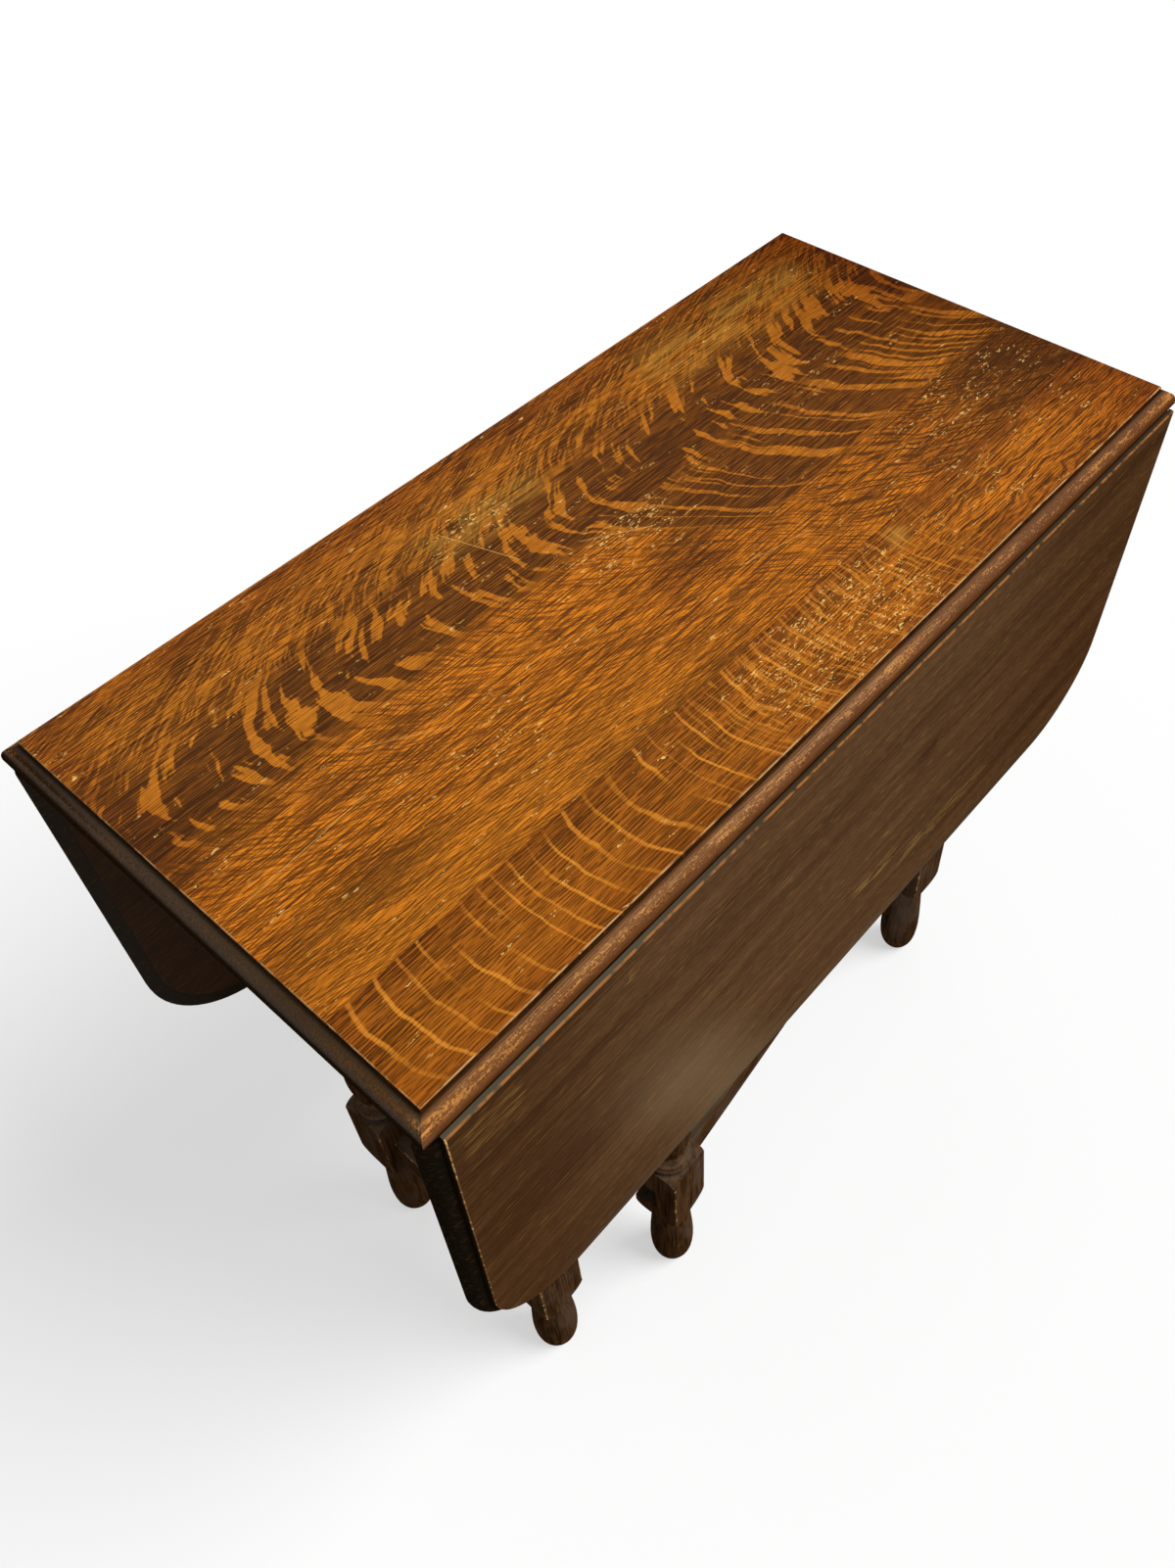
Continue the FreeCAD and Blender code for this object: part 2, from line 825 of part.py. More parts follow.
def all_pieces():
    """Every piece of the table by its name, as the photograph shows it standing."""
    front, top_holes, leaf_holes = hinge_pieces()
    front["leaf_front"] = leaf(leaf_holes)
    front["leaf_stop_front"] = leaf_stop()
    front["apron_front"] = front_apron()
    front["stretcher_front"] = front_stretcher()
    front["apron_right"] = right_apron()
    front["stretcher_right"] = right_stretcher()
    mortises = frame_mortises()
    front["leg_front_left"] = frame_leg(-1, -1, mortises)
    front["leg_front_right"] = frame_leg(1, -1, mortises)
    pieces = dict(front)
    pieces.update((rear_name(name), half_turned(shape)) for name, shape in front.items())
    for name, shape in gate_pieces().items():
        pieces[name + "_front"] = swung(shape, gate_ajar_angle)
        pieces[name + "_rear"] = half_turned(shape)
    buttons, button_screws, button_holes = zip(*all_buttons())
    pieces["top_buttons"] = Part.makeCompound(list(buttons))
    pieces["top_button_screws"] = Part.makeCompound(list(button_screws))
    top_holes += [half_turned(hole) for hole in top_holes]
    wide, narrow = top_boards(top_holes + list(button_holes))
    pieces["top_board_wide"] = wide
    pieces["top_board_narrow"] = narrow
    return pieces


def save(pieces):
    """One file for each piece, or for each group of alike fasteners."""
    os.makedirs("parts", exist_ok=True)
    for name, shape in sorted(pieces.items()):
        solids = shape.Solids
        print(f"{name}: {len(solids)} solid(s), {shape.Volume:.0f} mm3, valid {shape.isValid()}")
        kept = solids[0] if len(solids) == 1 else Part.makeCompound(solids)
        kept.exportStep("parts/" + name + ".step")


save(all_pieces())
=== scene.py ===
# %% [markdown]
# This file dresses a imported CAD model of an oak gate-leg table: it gives every board, leg and
# hinge its finish, and adds the light, the floor and the camera.

# %% Load the table
import json
import math

import bmesh
import bpy
from mathutils import Matrix, Vector


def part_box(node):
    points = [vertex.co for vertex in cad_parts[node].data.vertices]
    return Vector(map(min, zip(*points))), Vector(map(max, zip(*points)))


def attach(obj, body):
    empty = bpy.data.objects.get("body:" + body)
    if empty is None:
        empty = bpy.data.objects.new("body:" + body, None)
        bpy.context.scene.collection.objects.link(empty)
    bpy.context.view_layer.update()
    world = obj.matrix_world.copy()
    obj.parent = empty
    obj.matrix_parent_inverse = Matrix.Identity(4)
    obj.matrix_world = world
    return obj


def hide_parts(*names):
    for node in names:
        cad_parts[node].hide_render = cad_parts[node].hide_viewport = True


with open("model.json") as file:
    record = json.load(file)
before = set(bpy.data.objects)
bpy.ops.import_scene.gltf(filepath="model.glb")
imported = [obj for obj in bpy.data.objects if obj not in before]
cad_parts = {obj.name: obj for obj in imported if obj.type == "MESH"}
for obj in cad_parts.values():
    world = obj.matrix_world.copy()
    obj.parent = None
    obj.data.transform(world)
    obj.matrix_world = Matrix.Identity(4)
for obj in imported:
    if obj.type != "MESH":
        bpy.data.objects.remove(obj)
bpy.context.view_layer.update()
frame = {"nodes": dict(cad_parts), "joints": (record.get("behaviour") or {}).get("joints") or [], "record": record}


# %% [markdown]
# The finishes follow the shape of the table, so they need its sizes: where the flat field of the
# top ends, how deep its edge moulding is, where a leaf's hinge pins lie and where the legs stand.
# They are read off the boxes of the CAD pieces and off the joints, so that none is typed twice.
# Only the round corners of the leaves have no box of their own.

# %% Sizes of the table
mm = 0.001


def in_mm(*lengths):
    """Lengths given in millimetres, as metres."""
    return tuple(length * mm for length in lengths)


wide_low, wide_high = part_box("top_board_wide")
narrow_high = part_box("top_board_narrow")[1]
leg_low, leg_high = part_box("leg_front_right")
closed_low, closed_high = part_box("gate_leg_rear")
joints = {joint["name"]: joint for joint in frame["joints"]}
leaf_pin = Vector(joints["front_leaf_hinge"]["pos_m"])
leaf_drop = math.radians(joints["front_leaf_hinge"]["range_deg"][1])
gate_pivot = Vector(joints["front_gate_pivot"]["pos_m"])
gate_ajar = -math.radians(joints["front_gate_pivot"]["range_deg"][0])
leaf_corner_radius = 88 * mm

half_length = wide_high.x
half_width = wide_high.y
top_height = wide_high.z
underside = wide_low.z
glue_line = narrow_high.y
edge_round = half_width + leaf_pin.y
edge_step = top_height - leaf_pin.z - edge_round
field_x = half_length - edge_round
field_y = half_width - edge_round
leg_half = (leg_high.x - leg_low.x) / 2
leg_place = (leg_low + leg_high) / 2
gate_leg_place = -(closed_low + closed_high) / 2
print("field:", field_x, field_y, "moulding:", edge_round, edge_step, "glue line:", glue_line)
print("legs:", leg_place, "gate leg:", gate_leg_place, "half square:", leg_half)


# %% [markdown]
# A hanging leaf is easier to measure and to paint as if it were raised, level with the top. Turning
# it back about its hinge pins does that. The depth of a leaf is then how far it reaches out.

# %% Depth of a leaf
to_pin = Matrix.Translation(leaf_pin)
raise_leaf = to_pin @ Matrix.Rotation(-leaf_drop, 4, "X") @ to_pin.inverted()
leaf_points = [raise_leaf @ vertex.co for vertex in frame["nodes"]["leaf_front"].data.vertices]
leaf_depth = leaf_pin.y - min(point.y for point in leaf_points)
print("leaf depth:", leaf_depth)


# %% [markdown]
# The camera looks down on the near corner of the top, as one would standing over the table. A
# camera is set by where it stands, what point it looks at and how far it is tipped sideways. The
# picture is a cropped one, so its middle isn't where the lens points, and a small shift makes up
# for that.

# %% Camera
picture_width = 1200
picture_height = 1601
sensor_size = 36.0
focal_pixels = 1374.4
lens_centre_across = 671.3
lens_centre_down = 718.1
camera_place = Vector((-0.4968, -0.4555, 1.3428))
camera_target = Vector((-0.1054, -0.0951, top_height))
camera_tip = math.radians(-2.126)
nearest_seen = 10 * mm


def add_camera():
    """Camera that sees the table as a person standing over its near corner does."""
    data = bpy.data.cameras.new("camera")
    data.sensor_width = sensor_size
    data.lens = focal_pixels / picture_height * sensor_size
    data.shift_x = (picture_width / 2 - lens_centre_across) / picture_height
    data.shift_y = (lens_centre_down - picture_height / 2) / picture_height
    data.clip_start = nearest_seen
    camera = bpy.data.objects.new("camera", data)
    turn = (camera_target - camera_place).to_track_quat("-Z", "Y").to_matrix()
    tip = Matrix.Rotation(camera_tip, 3, "Z")
    camera.matrix_world = Matrix.Translation(camera_place) @ (turn @ tip).to_4x4()
    bpy.context.scene.collection.objects.link(camera)
    bpy.context.scene.camera = camera
    return camera


camera = add_camera()
print("lens:", round(camera.data.lens, 2), "shift:", camera.data.shift_x, camera.data.shift_y)


# %% [markdown]
# A finish is a web of shader nodes. Wiring each node by hand is long to read, so two small classes
# do it. A Value is the output of a node, and a sum with it adds another node, so that outputs are
# added and multiplied like numbers. A Web holds the nodes: a call makes one, connects it and gives
# back its output. All patterns start from Object coordinates, in metres, which stay with a piece
# when it moves.

# %% Values and their web
class Value:
    """Output of a shader node. A sum with it adds another node."""

    def __init__(self, web, socket):
        self.web = web
        self.socket = socket

    def __add__(self, other):
        return self.web.sum("ADD", self, other)

    def __radd__(self, other):
        return self.web.sum("ADD", other, self)

    def __sub__(self, other):
        return self.web.sum("SUBTRACT", self, other)

    def __rsub__(self, other):
        return self.web.sum("SUBTRACT", other, self)

    def __mul__(self, other):
        return self.web.sum("MULTIPLY", self, other)

    def __rmul__(self, other):
        return self.web.sum("MULTIPLY", other, self)

    def __abs__(self):
        return self.web.sum("ABSOLUTE", self, 0)


class Web:
    """Shader nodes of one material."""

    def __init__(self, name):
        self.material = bpy.data.materials.new(name)
        self.material.use_nodes = True
        self.nodes = self.material.node_tree.nodes
        self.links = self.material.node_tree.links
        self.shader = self.nodes["Principled BSDF"]
        self.place = self.output(self.nodes.new("ShaderNodeTexCoord"), "Object")

    def output(self, node, name):
        return Value(self, node.outputs[name])

    def feed(self, socket, thing):
        """Connect an output to a socket, or set the socket to a plain number or colour."""
        if isinstance(thing, Value):
            self.links.new(thing.socket, socket)
        elif isinstance(thing, tuple) and len(thing) == 3 and len(socket.default_value) == 4:
            socket.default_value = (*thing, 1.0)
        else:
            socket.default_value = thing

    def sum(self, operation, first, second):
        node = self.nodes.new("ShaderNodeMath")
        node.operation = operation
        self.feed(node.inputs[0], first)
        self.feed(node.inputs[1], second)
        return self.output(node, "Value")

    def greater(self, first, second):
        return self.sum("MAXIMUM", first, second)

    def lesser(self, first, second):
        return self.sum("MINIMUM", first, second)

    def length(self, across, down):
        """Length of a flat vector with two parts at a right angle."""
        return self.sum("SQRT", across * across + down * down, 0)

    def axes(self, place):
        """The three parts of a place, each a value of its own."""
        node = self.nodes.new("ShaderNodeSeparateXYZ")
        self.feed(node.inputs[0], place)
        return [self.output(node, name) for name in "XYZ"]

    def turned(self, place, axis, angle, centre):
        """A place turned about an axis through a point."""
        node = self.nodes.new("ShaderNodeVectorRotate")
        node.rotation_type = axis + "_AXIS"
        self.feed(node.inputs["Vector"], place)
        node.inputs["Center"].default_value = centre
        node.inputs["Angle"].default_value = angle
        return self.output(node, "Vector")

    def mix(self, amount, first, second, how="MIX"):
        """Second colour laid over the first by an amount."""
        node = self.nodes.new("ShaderNodeMix")
        node.data_type = "RGBA"
        node.blend_type = how
        self.feed(node.inputs[0], amount)
        self.feed(node.inputs[6], first)
        self.feed(node.inputs[7], second)
        return Value(self, node.outputs[2])

    def stained(self, amount, colour, stain):
        """A colour darkened by a see-through stain, by an amount."""
        return self.mix(amount, colour, stain, "MULTIPLY")


# %% [markdown]
# Patterns start from random fields: noise is a soft one, and flecks are loose dots. Rise and fall
# make a mask of a field, which is nought below one value and one above another, or the reverse. A
# band is one between two values, and ruled lines repeat at a spacing. Masks then say how much of a
# colour goes where.

# %% Patterns
dot_least = 0.12
dot_growth = 0.30
dot_softness = 0.06
chance_margin = 0.02


class Patterns(Web):
    """A web that makes random fields, lines and masks."""

    def scaled(self, place, size):
        """A place counted in cells of a given size along each axis."""
        joined = self.nodes.new("ShaderNodeCombineXYZ")
        for socket, value, length in zip(joined.inputs, place, size):
            self.feed(socket, value * (1 / length))
        return self.output(joined, "Vector")

    def noise(self, place, size, detail=2.0):
        """Soft random field around a half, with features of a given size along each axis."""
        node = self.nodes.new("ShaderNodeTexNoise")
        node.inputs["Scale"].default_value = 1.0
        node.inputs["Detail"].default_value = detail
        self.feed(node.inputs["Vector"], self.scaled(place, size))
        return self.output(node, "Fac")

    def rise(self, value, low, high):
        """Nought below one value, one above another, and smooth between."""
        node = self.nodes.new("ShaderNodeMapRange")
        node.interpolation_type = "SMOOTHSTEP"
        self.feed(node.inputs["Value"], value)
        self.feed(node.inputs["From Min"], low)
        self.feed(node.inputs["From Max"], high)
        return self.output(node, "Result")

    def fall(self, value, low, high):
        return 1 - self.rise(value, low, high)

    def band(self, value, low, high, soft):
        """One between two values, fading out over a soft margin at both."""
        return self.rise(value, low - soft, low + soft) * self.fall(value, high - soft, high + soft)

    def ruled(self, value, spacing, width, soft):
        """Lines of a given width, a spacing apart, where a value passes along them."""
        share = self.sum("FRACT", value * (1 / spacing), 0)
        near = abs(share - 0.5) * spacing
        return self.fall(near, width / 2 - soft, width / 2 + soft)

    def flecks(self, place, size, share):
        """Separate oval dots of random size, on a given share of the cells of a loose grid."""
        node = self.nodes.new("ShaderNodeTexVoronoi")
        node.inputs["Scale"].default_value = 1.0
        self.feed(node.inputs["Vector"], self.scaled(place, size))
        chance = self.axes(self.output(node, "Color"))[0]
        reach = (chance - (1 - share)) * (dot_growth / share) + dot_least
        kept = self.rise(chance, 1 - share, 1 + chance_margin - share)
        return self.fall(self.output(node, "Distance") - reach, -dot_softness, dot_softness) * kept


print("dots reach from", dot_least, "to", dot_least + dot_growth, "of a cell")


# %% [markdown]
# Wear is placed one by one. A patch is a row of a table: its limits along and across the board, the
# width of its soft margin, and how strong it is. A scratch is a row of its two ends, its width and
# its strength. All their lengths are in millimetres. When a finish is done it gets its colour, its
# roughness and a shallow relief, and its gloss dies away where it is seen edge on, as that of dull
# old wax does.

# %% Wear and finish
edge_on_fade = (0.2, 0.55)
scratch_core = 0.3
scratch_rim = 0.6
scratch_end = 1.5 * mm


class Finish(Patterns):
    """One material being mixed, with its gloss and the tint of what it reflects."""

    def __init__(self, name, gloss, sheen_tint=(1.0, 1.0, 1.0)):
        super().__init__(name)
        self.gloss = gloss
        self.shader.inputs["Specular Tint"].default_value = (*sheen_tint, 1.0)

    def patches(self, x, y, rows):
        """Sum of soft patches."""
        total = 0.0
        for x_limits, y_limits, margin, strength in rows:
            along = self.band(x, *in_mm(*x_limits), margin * mm)
            across = self.band(y, *in_mm(*y_limits), margin * mm)
            total = total + along * across * strength
        return total

    def scratch(self, x, y, start, end, width):
        """A straight thin scratch between two points."""
        reach = Vector(end) - Vector(start)
        side_x, side_y = reach.x / reach.length, reach.y / reach.length
        along = (x - start[0]) * side_x + (y - start[1]) * side_y
        aside = (x - start[0]) * (-side_y) + (y - start[1]) * side_x
        line = self.fall(abs(aside), width * scratch_core, width * scratch_rim)
        return line * self.band(along, 0, reach.length, scratch_end)

    def scratches(self, x, y, rows):
        """Sum of scratches."""
        total = 0.0
        for start, end, width, strength in rows:
            total = total + self.scratch(x, y, in_mm(*start), in_mm(*end), width * mm) * strength
        return total

    def facing_gloss(self, extra):
        """Gloss that dies away where the wax is seen edge on."""
        weight = self.nodes.new("ShaderNodeLayerWeight")
        return (extra + self.gloss) * self.fall(self.output(weight, "Facing"), *edge_on_fade)

    def finished(self, colour, roughness, height, depth, extra_gloss=0.0):
        """Set the surface: its colour, how rough it is and how deep its relief goes."""
        gloss = self.facing_gloss(extra_gloss)
        bump = self.nodes.new("ShaderNodeBump")
        bump.inputs["Distance"].default_value = depth
        self.feed(bump.inputs["Height"], height)
        self.feed(self.shader.inputs["Specular IOR Level"], gloss)
        self.feed(self.shader.inputs["Base Color"], colour)
        self.feed(self.shader.inputs["Roughness"], roughness)
        self.links.new(bump.outputs["Normal"], self.shader.inputs["Normal"])
        print("material:", self.material.name, "nodes:", len(self.nodes))
        return self.material


print("gloss fades between", edge_on_fade)


# %% [markdown]
# The boards share a fine texture: open pores, which are dark dashes in rows along the board, and the
# hair-thin lines of the year rings. A noise is given the size of its features along x, y and z,
# because grain is long one way and narrow the others. Old shellac tints what the wood reflects.

# %% Pores and year rings
shellac = (1.0, 0.60, 0.28)
pore_brown = (0.040, 0.010, 0.001)
pore_sway = 9 * mm
pore_spacing, pore_width, pore_blur = in_mm(1.9, 0.95, 0.4)


def pores(finish, place):
    """Dark dashes of open pores along the board."""
    x, y, z = place
    sway = finish.noise(place, in_mm(90, 14, 14)) * pore_sway
    rows = finish.ruled(y + z + sway, pore_spacing, pore_width, pore_blur)
    dashes = finish.noise(place, in_mm(11, 1.6, 2))
    return rows * finish.rise(dashes, 0.40, 0.54)


def streaks(finish, place):
    """Fine lines of the year rings, cut along."""
    return finish.noise(place, in_mm(32, 0.8, 3))


print("pore rows:", pore_spacing, "apart and", pore_width, "wide")


# %% [markdown]
# Round the flat field of the top runs a moulding: a small step down, then a quarter round. Dirt has
# made it dark, hands have rubbed its crest to warmer wood, and the sharp arris above the step is
# worn to a pale, broken line. A grey band just past the step is dust and, most on the long sides,
# a painted sheen. What lies where follows the distance out from the flat field.

# %% Moulded edge
worn_line = (0.56, 0.31, 0.12)
edge_dust_and_sheen = (0.095, 0.066, 0.040)
end_moulding = (0.032, 0.0165, 0.0075)
moulding_brown = (0.135, 0.043, 0.010)
moulding_wear = (0.56, 0.225, 0.050)
smear_stain = (0.45, 0.42, 0.42)
step_dark = (0.011, 0.008, 0.004)
joint_dark = (0.012, 0.007, 0.003)


def below_top(*depths):
    """Heights that lie given depths, in millimetres, below the top."""
    return tuple(top_height - depth for depth in in_mm(*depths))


moulding_start = in_mm(-0.05, 0.25)
step_start, step_end, step_heights = in_mm(-0.3, 0), in_mm(0.6, 1.5), below_top(1.2, 0.7)
line_start, line_heights = in_mm(-0.85, -0.5), below_top(1.1, 0.7)
dust_and_sheen_limits, dust_and_sheen_blur = in_mm(1.7, 3.4), 0.6 * mm
crest_limits, crest_blur = in_mm(3.8, 8.4), 1.3 * mm
mitre_reach = in_mm(2, 12)
mitre_blur = 0.2 * mm
lower_heights = (underside + 0.5 * mm, underside + 3 * mm)


def field_distance(finish, x, y):
    """Distance out from the flat field of the top, and whether a long side is nearer."""
    out_x = abs(x) - field_x
    out_y = abs(y) - field_y
    long_side = finish.rise(out_y - out_x, -mitre_blur, mitre_blur)
    return finish.greater(out_x, out_y), long_side


def worn_arris(finish, distance, z, breaks, shade, pale):
    """Lay a worn line over the sharp arris of a flat field, and a dark step below it."""
    step = finish.rise(distance, *step_start) * finish.fall(distance, *step_end)
    step = step * finish.fall(z, *step_heights)
    shade = finish.mix(step * 0.85, shade, step_dark)
    line = finish.rise(distance, *line_start) * finish.rise(z, *line_heights)
    unbroken = 0.15 + 0.85 * finish.rise(breaks, 0.38, 0.58)
    return finish.mix(line * unbroken, shade, pale)


def moulded_edge(finish, place, distance, long_side, colour):
    """Colours of the worn edge moulding, by the distance out from the flat field."""
    x, y, z = place
    breaks = finish.noise(place, in_mm(12, 12, 12), 3.0)
    along = finish.noise(place, in_mm(70, 70, 70))
    speckle = finish.noise(place, in_mm(1.5, 1.1, 1.1))
    smear = finish.noise(place, in_mm(13, 1.8, 1.8))
    shade = finish.mix(long_side, end_moulding, moulding_brown)
    shade = finish.stained(finish.rise(smear, 0.4, 0.6) * 0.5, shade, smear_stain)
    # Dust and painted sheen: a grey band just past the step, stronger on the long sides.
    dust_and_sheen = finish.band(distance, *dust_and_sheen_limits, dust_and_sheen_blur) * (0.3 + 0.7 * long_side)
    shade = finish.mix(dust_and_sheen * (0.1 + 0.5 * along), shade, edge_dust_and_sheen)
    crest = finish.band(distance, *crest_limits, crest_blur)
    wear = finish.rise(speckle * 0.4 + smear * 0.4 + along * 0.3, 0.52, 0.64) * crest
    mitre = finish.fall(abs(abs(x) - field_x - abs(y) + field_y), *mitre_reach)
    shade = finish.mix(wear * (0.10 + 0.70 * long_side + 0.3 * mitre), shade, moulding_wear)
    shade = finish.mix(finish.fall(z, *lower_heights), shade, joint_dark)
    colour = finish.mix(finish.rise(distance, *moulding_start), colour, shade)
    return worn_arris(finish, distance, z, breaks, colour, worn_line)


print("worn line:", line_start, "out from the field, at heights", line_heights)


# %% [markdown]
# The wax has worn through in short pale dashes and specks that gather in patches. Marks and pores
# are duller than the wax, and the moulding, which hands polish, is glossier.

# %% Scuffs and wax
worn_cream = (1.0, 0.63, 0.19)
top_gloss = 0.16
top_relief = 0.14 * mm
dash_cell, dash_share = in_mm(7, 1.1, 4), 0.5
speck_cell, speck_share = in_mm(2.6, 1.0, 4), 0.3
dash_bend = 5 * mm
glossy_start = in_mm(1.5, 3)


def scuffs(finish, place, rubbed):
    """Pale short dashes, in patches, where the wax is worn through."""
    x, y, z = place
    bent = (x, y + finish.noise(place, in_mm(5, 5, 5)) * dash_bend, z)
    dashes = finish.flecks(bent, dash_cell, dash_share)
    specks = finish.flecks(bent, speck_cell, speck_share)
    spots = finish.noise(place, in_mm(22, 6, 9), 3.0)
    here = finish.rise(spots + rubbed * 0.18, 0.60, 0.70)
    return finish.greater(dashes, specks) * here


def polished(finish, distance, colour, marks, open_pores, lines):
    """Wax polish: glossier on the moulding, duller on scuffs and pores."""
    outside = finish.rise(distance, *glossy_start)
    roughness = 0.42 + 0.14 * open_pores + 0.2 * marks - 0.18 * outside
    height = lines * 0.35 - open_pores * 0.8 - marks * 0.3
    return finish.finished(colour, roughness, height, top_relief, 0.12 * outside)


print("scuffs:", dash_cell, "and", speck_cell)


# %% [markdown]
# Quarter-sawing cuts along the wood's rays, which show as smooth orange flakes on the brown, porous
# ground. On the wide board the flakes follow curves like a bracket, bold at the back and fine
# towards the front. Each flake field here is a stretched noise, read in coordinates that are bent
# the same way, and only its peaks are kept.

# %% Wide board: its flakes
bracket_tip = 60 * mm
bracket_bend, bracket_easing = 12.0, 6.5
easing_from, easing_until = in_mm(-20, 110), in_mm(0, 25)
flake_wobble = 22 * mm
bold_front, bold_retreat, bold_retreat_from = 34 * mm, 74 * mm, in_mm(-40, 80)
bold_wobble, bold_blur = 30 * mm, 9 * mm
upper_from = in_mm(92, 118)
lower_until = in_mm(20, 40)
other_place = 0.7


def bracket_curve(finish, x, y, wobble):
    """A value that stays the same along each flake, and how far right the place lies."""
    off = y - bracket_tip
    right = finish.rise(x, *easing_from)
    above = finish.rise(off, *easing_until)
    lean = off * off * (bracket_bend - bracket_easing * right * (1 - above))
    return x - lean + wobble * flake_wobble, right


def wide_board_zones(finish, x, y, wobble):
    """Where the bold flakes lie, where the small upper ones do, and the lower half of the bold."""
    bold_end = bold_front - bold_retreat * finish.rise(x, *bold_retreat_from)
    bold = finish.rise(y + wobble * bold_wobble, bold_end - bold_blur, bold_end + bold_blur)
    return bold, finish.rise(y, *upper_from), finish.fall(y, *lower_until)


def wide_board_flakes(finish, place, lines, wobble, zones):
    """Blocks at the back, strokes in the middle, small upper flakes, and gaps of the fine ones."""
    x, y, z = place
    bold, upper_zone, lower = zones
    bent, right = bracket_curve(finish, x, y, wobble)
    rag = (lines - 0.5) * 0.16
    spread = finish.noise((bent, y, z), in_mm(40, 26, 30))
    blocks = finish.noise((bent, y, z), in_mm(9, 36, 30)) + spread * 0.4 + rag + right * 0.01
    blocks = finish.rise(blocks, 0.735, 0.79) * bold * (1 - upper_zone) * (1 - lower)
    strokes = finish.noise((bent + other_place, y, z), in_mm(7, 140, 60), 1.0)
    strokes = finish.rise(strokes + spread * 0.12 + rag * 0.5, 0.605, 0.645) * bold * lower
    upper = finish.noise((bent, y, z), in_mm(3.6, 13, 30), 2.5)
    upper = finish.rise(upper + spread * 0.3 + rag, 0.64, 0.70) * upper_zone
    fine = finish.noise((bent, y, z), in_mm(2.8, 22, 20))
    gaps = finish.rise(fine + rag * 0.5, 0.49, 0.56) * (1 - bold)
    return blocks, strokes, upper, gaps


print("curves of the flakes turn at y =", bracket_tip)


# %% Wide board: its ground
oak_dark = (0.060, 0.016, 0.001)
oak_brown = (0.250, 0.076, 0.006)
oak_orange = (0.62, 0.205, 0.015)
rift_dark = (0.16, 0.044, 0.003)
rift_light = (0.80, 0.238, 0.014)
flake_dark = (0.42, 0.125, 0.008)
gap_brown = (0.080, 0.022, 0.002)
rift_until = in_mm(120, 350)
browner_from = in_mm(-100, 200)
painted_light_until_x, painted_light_until_y = in_mm(-160, 0), in_mm(-92, -40)


def wide_board_wood(finish, place, lines, tone, zones, flakes):
    """Colour of the wide board, a painted pool of light at its near corner, and its pores."""
    x, y, z = place
    bold, upper_zone = zones[:2]
    blocks, strokes, upper, gaps = flakes
    rift = (1 - bold) * finish.fall(x, *rift_until)
    ground = finish.mix(finish.rise(lines, 0.40, 0.60), oak_dark, oak_brown)
    warm = finish.mix(finish.rise(lines, 0.38, 0.56), rift_dark, rift_light)
    colour = finish.mix(rift * finish.rise(tone, 0.25, 0.5), ground, warm)
    colour = finish.mix(upper_zone * finish.rise(tone, 0.4, 0.6) * 0.45, colour, warm)
    ray = finish.mix(finish.rise(lines, 0.34, 0.54), flake_dark, oak_orange)
    for flake, strength in ((blocks, 0.9), (strokes, 0.9), (upper, 0.8)):
        colour = finish.mix(flake * strength, colour, ray)
    # Painted light: the near corner is lifted towards orange, a pool of light painted where it falls.
    painted_light_corner = finish.fall(y, *painted_light_until_y) * finish.fall(x, *painted_light_until_x)
    colour = finish.mix(painted_light_corner * 0.45, colour, oak_orange)
    browner = 0.6 + 0.25 * finish.rise(x, *browner_from)
    colour = finish.mix(gaps * browner, colour, gap_brown)
    open_pores = pores(finish, place)
    pore_strength = 0.85 - 0.35 * blocks - 0.10 * rift
    return finish.mix(open_pores * pore_strength, colour, pore_brown), open_pores


print("bright corner until:", painted_light_until_x, painted_light_until_y)


# %% [markdown]
# Years of use lie over the figure: a band and a spot of dark polish, and darker ends. A golden haze
# at the back is a painted sheen, and towards the far end a painted shade darkens the board where the
# light falls off. A stain multiplies the colour under it, so the figure still shows through, while
# the haze is laid over it thinly.

# %% Wide board: its stains, painted sheen and painted shade
painted_sheen_gold = (0.50, 0.245, 0.035)
band_stain = (0.55, 0.50, 0.35)
burn_stain = (0.42, 0.36, 0.35)
wide_end_stain = (0.52, 0.36, 0.30)
wide_far_painted_shade = (0.62, 0.52, 0.45)
wide_band_limits, wide_band_blur = in_mm(36, 70), 12 * mm
wide_end_wobble, wide_end_from, wide_end_back = 25 * mm, in_mm(-42, -4), in_mm(-40, 60)
wide_far_from, wide_far_back, wide_tip_from = 130 * mm, in_mm(0, 60), 290 * mm
burnt = [((-32, 30), (-44, -20), 13, 0.8)]
painted_sheen_patches = [
    ((145, 330), (112, 150), 26, 1.0),
    ((-110, 0), (92, 128), 18, 0.6),
]


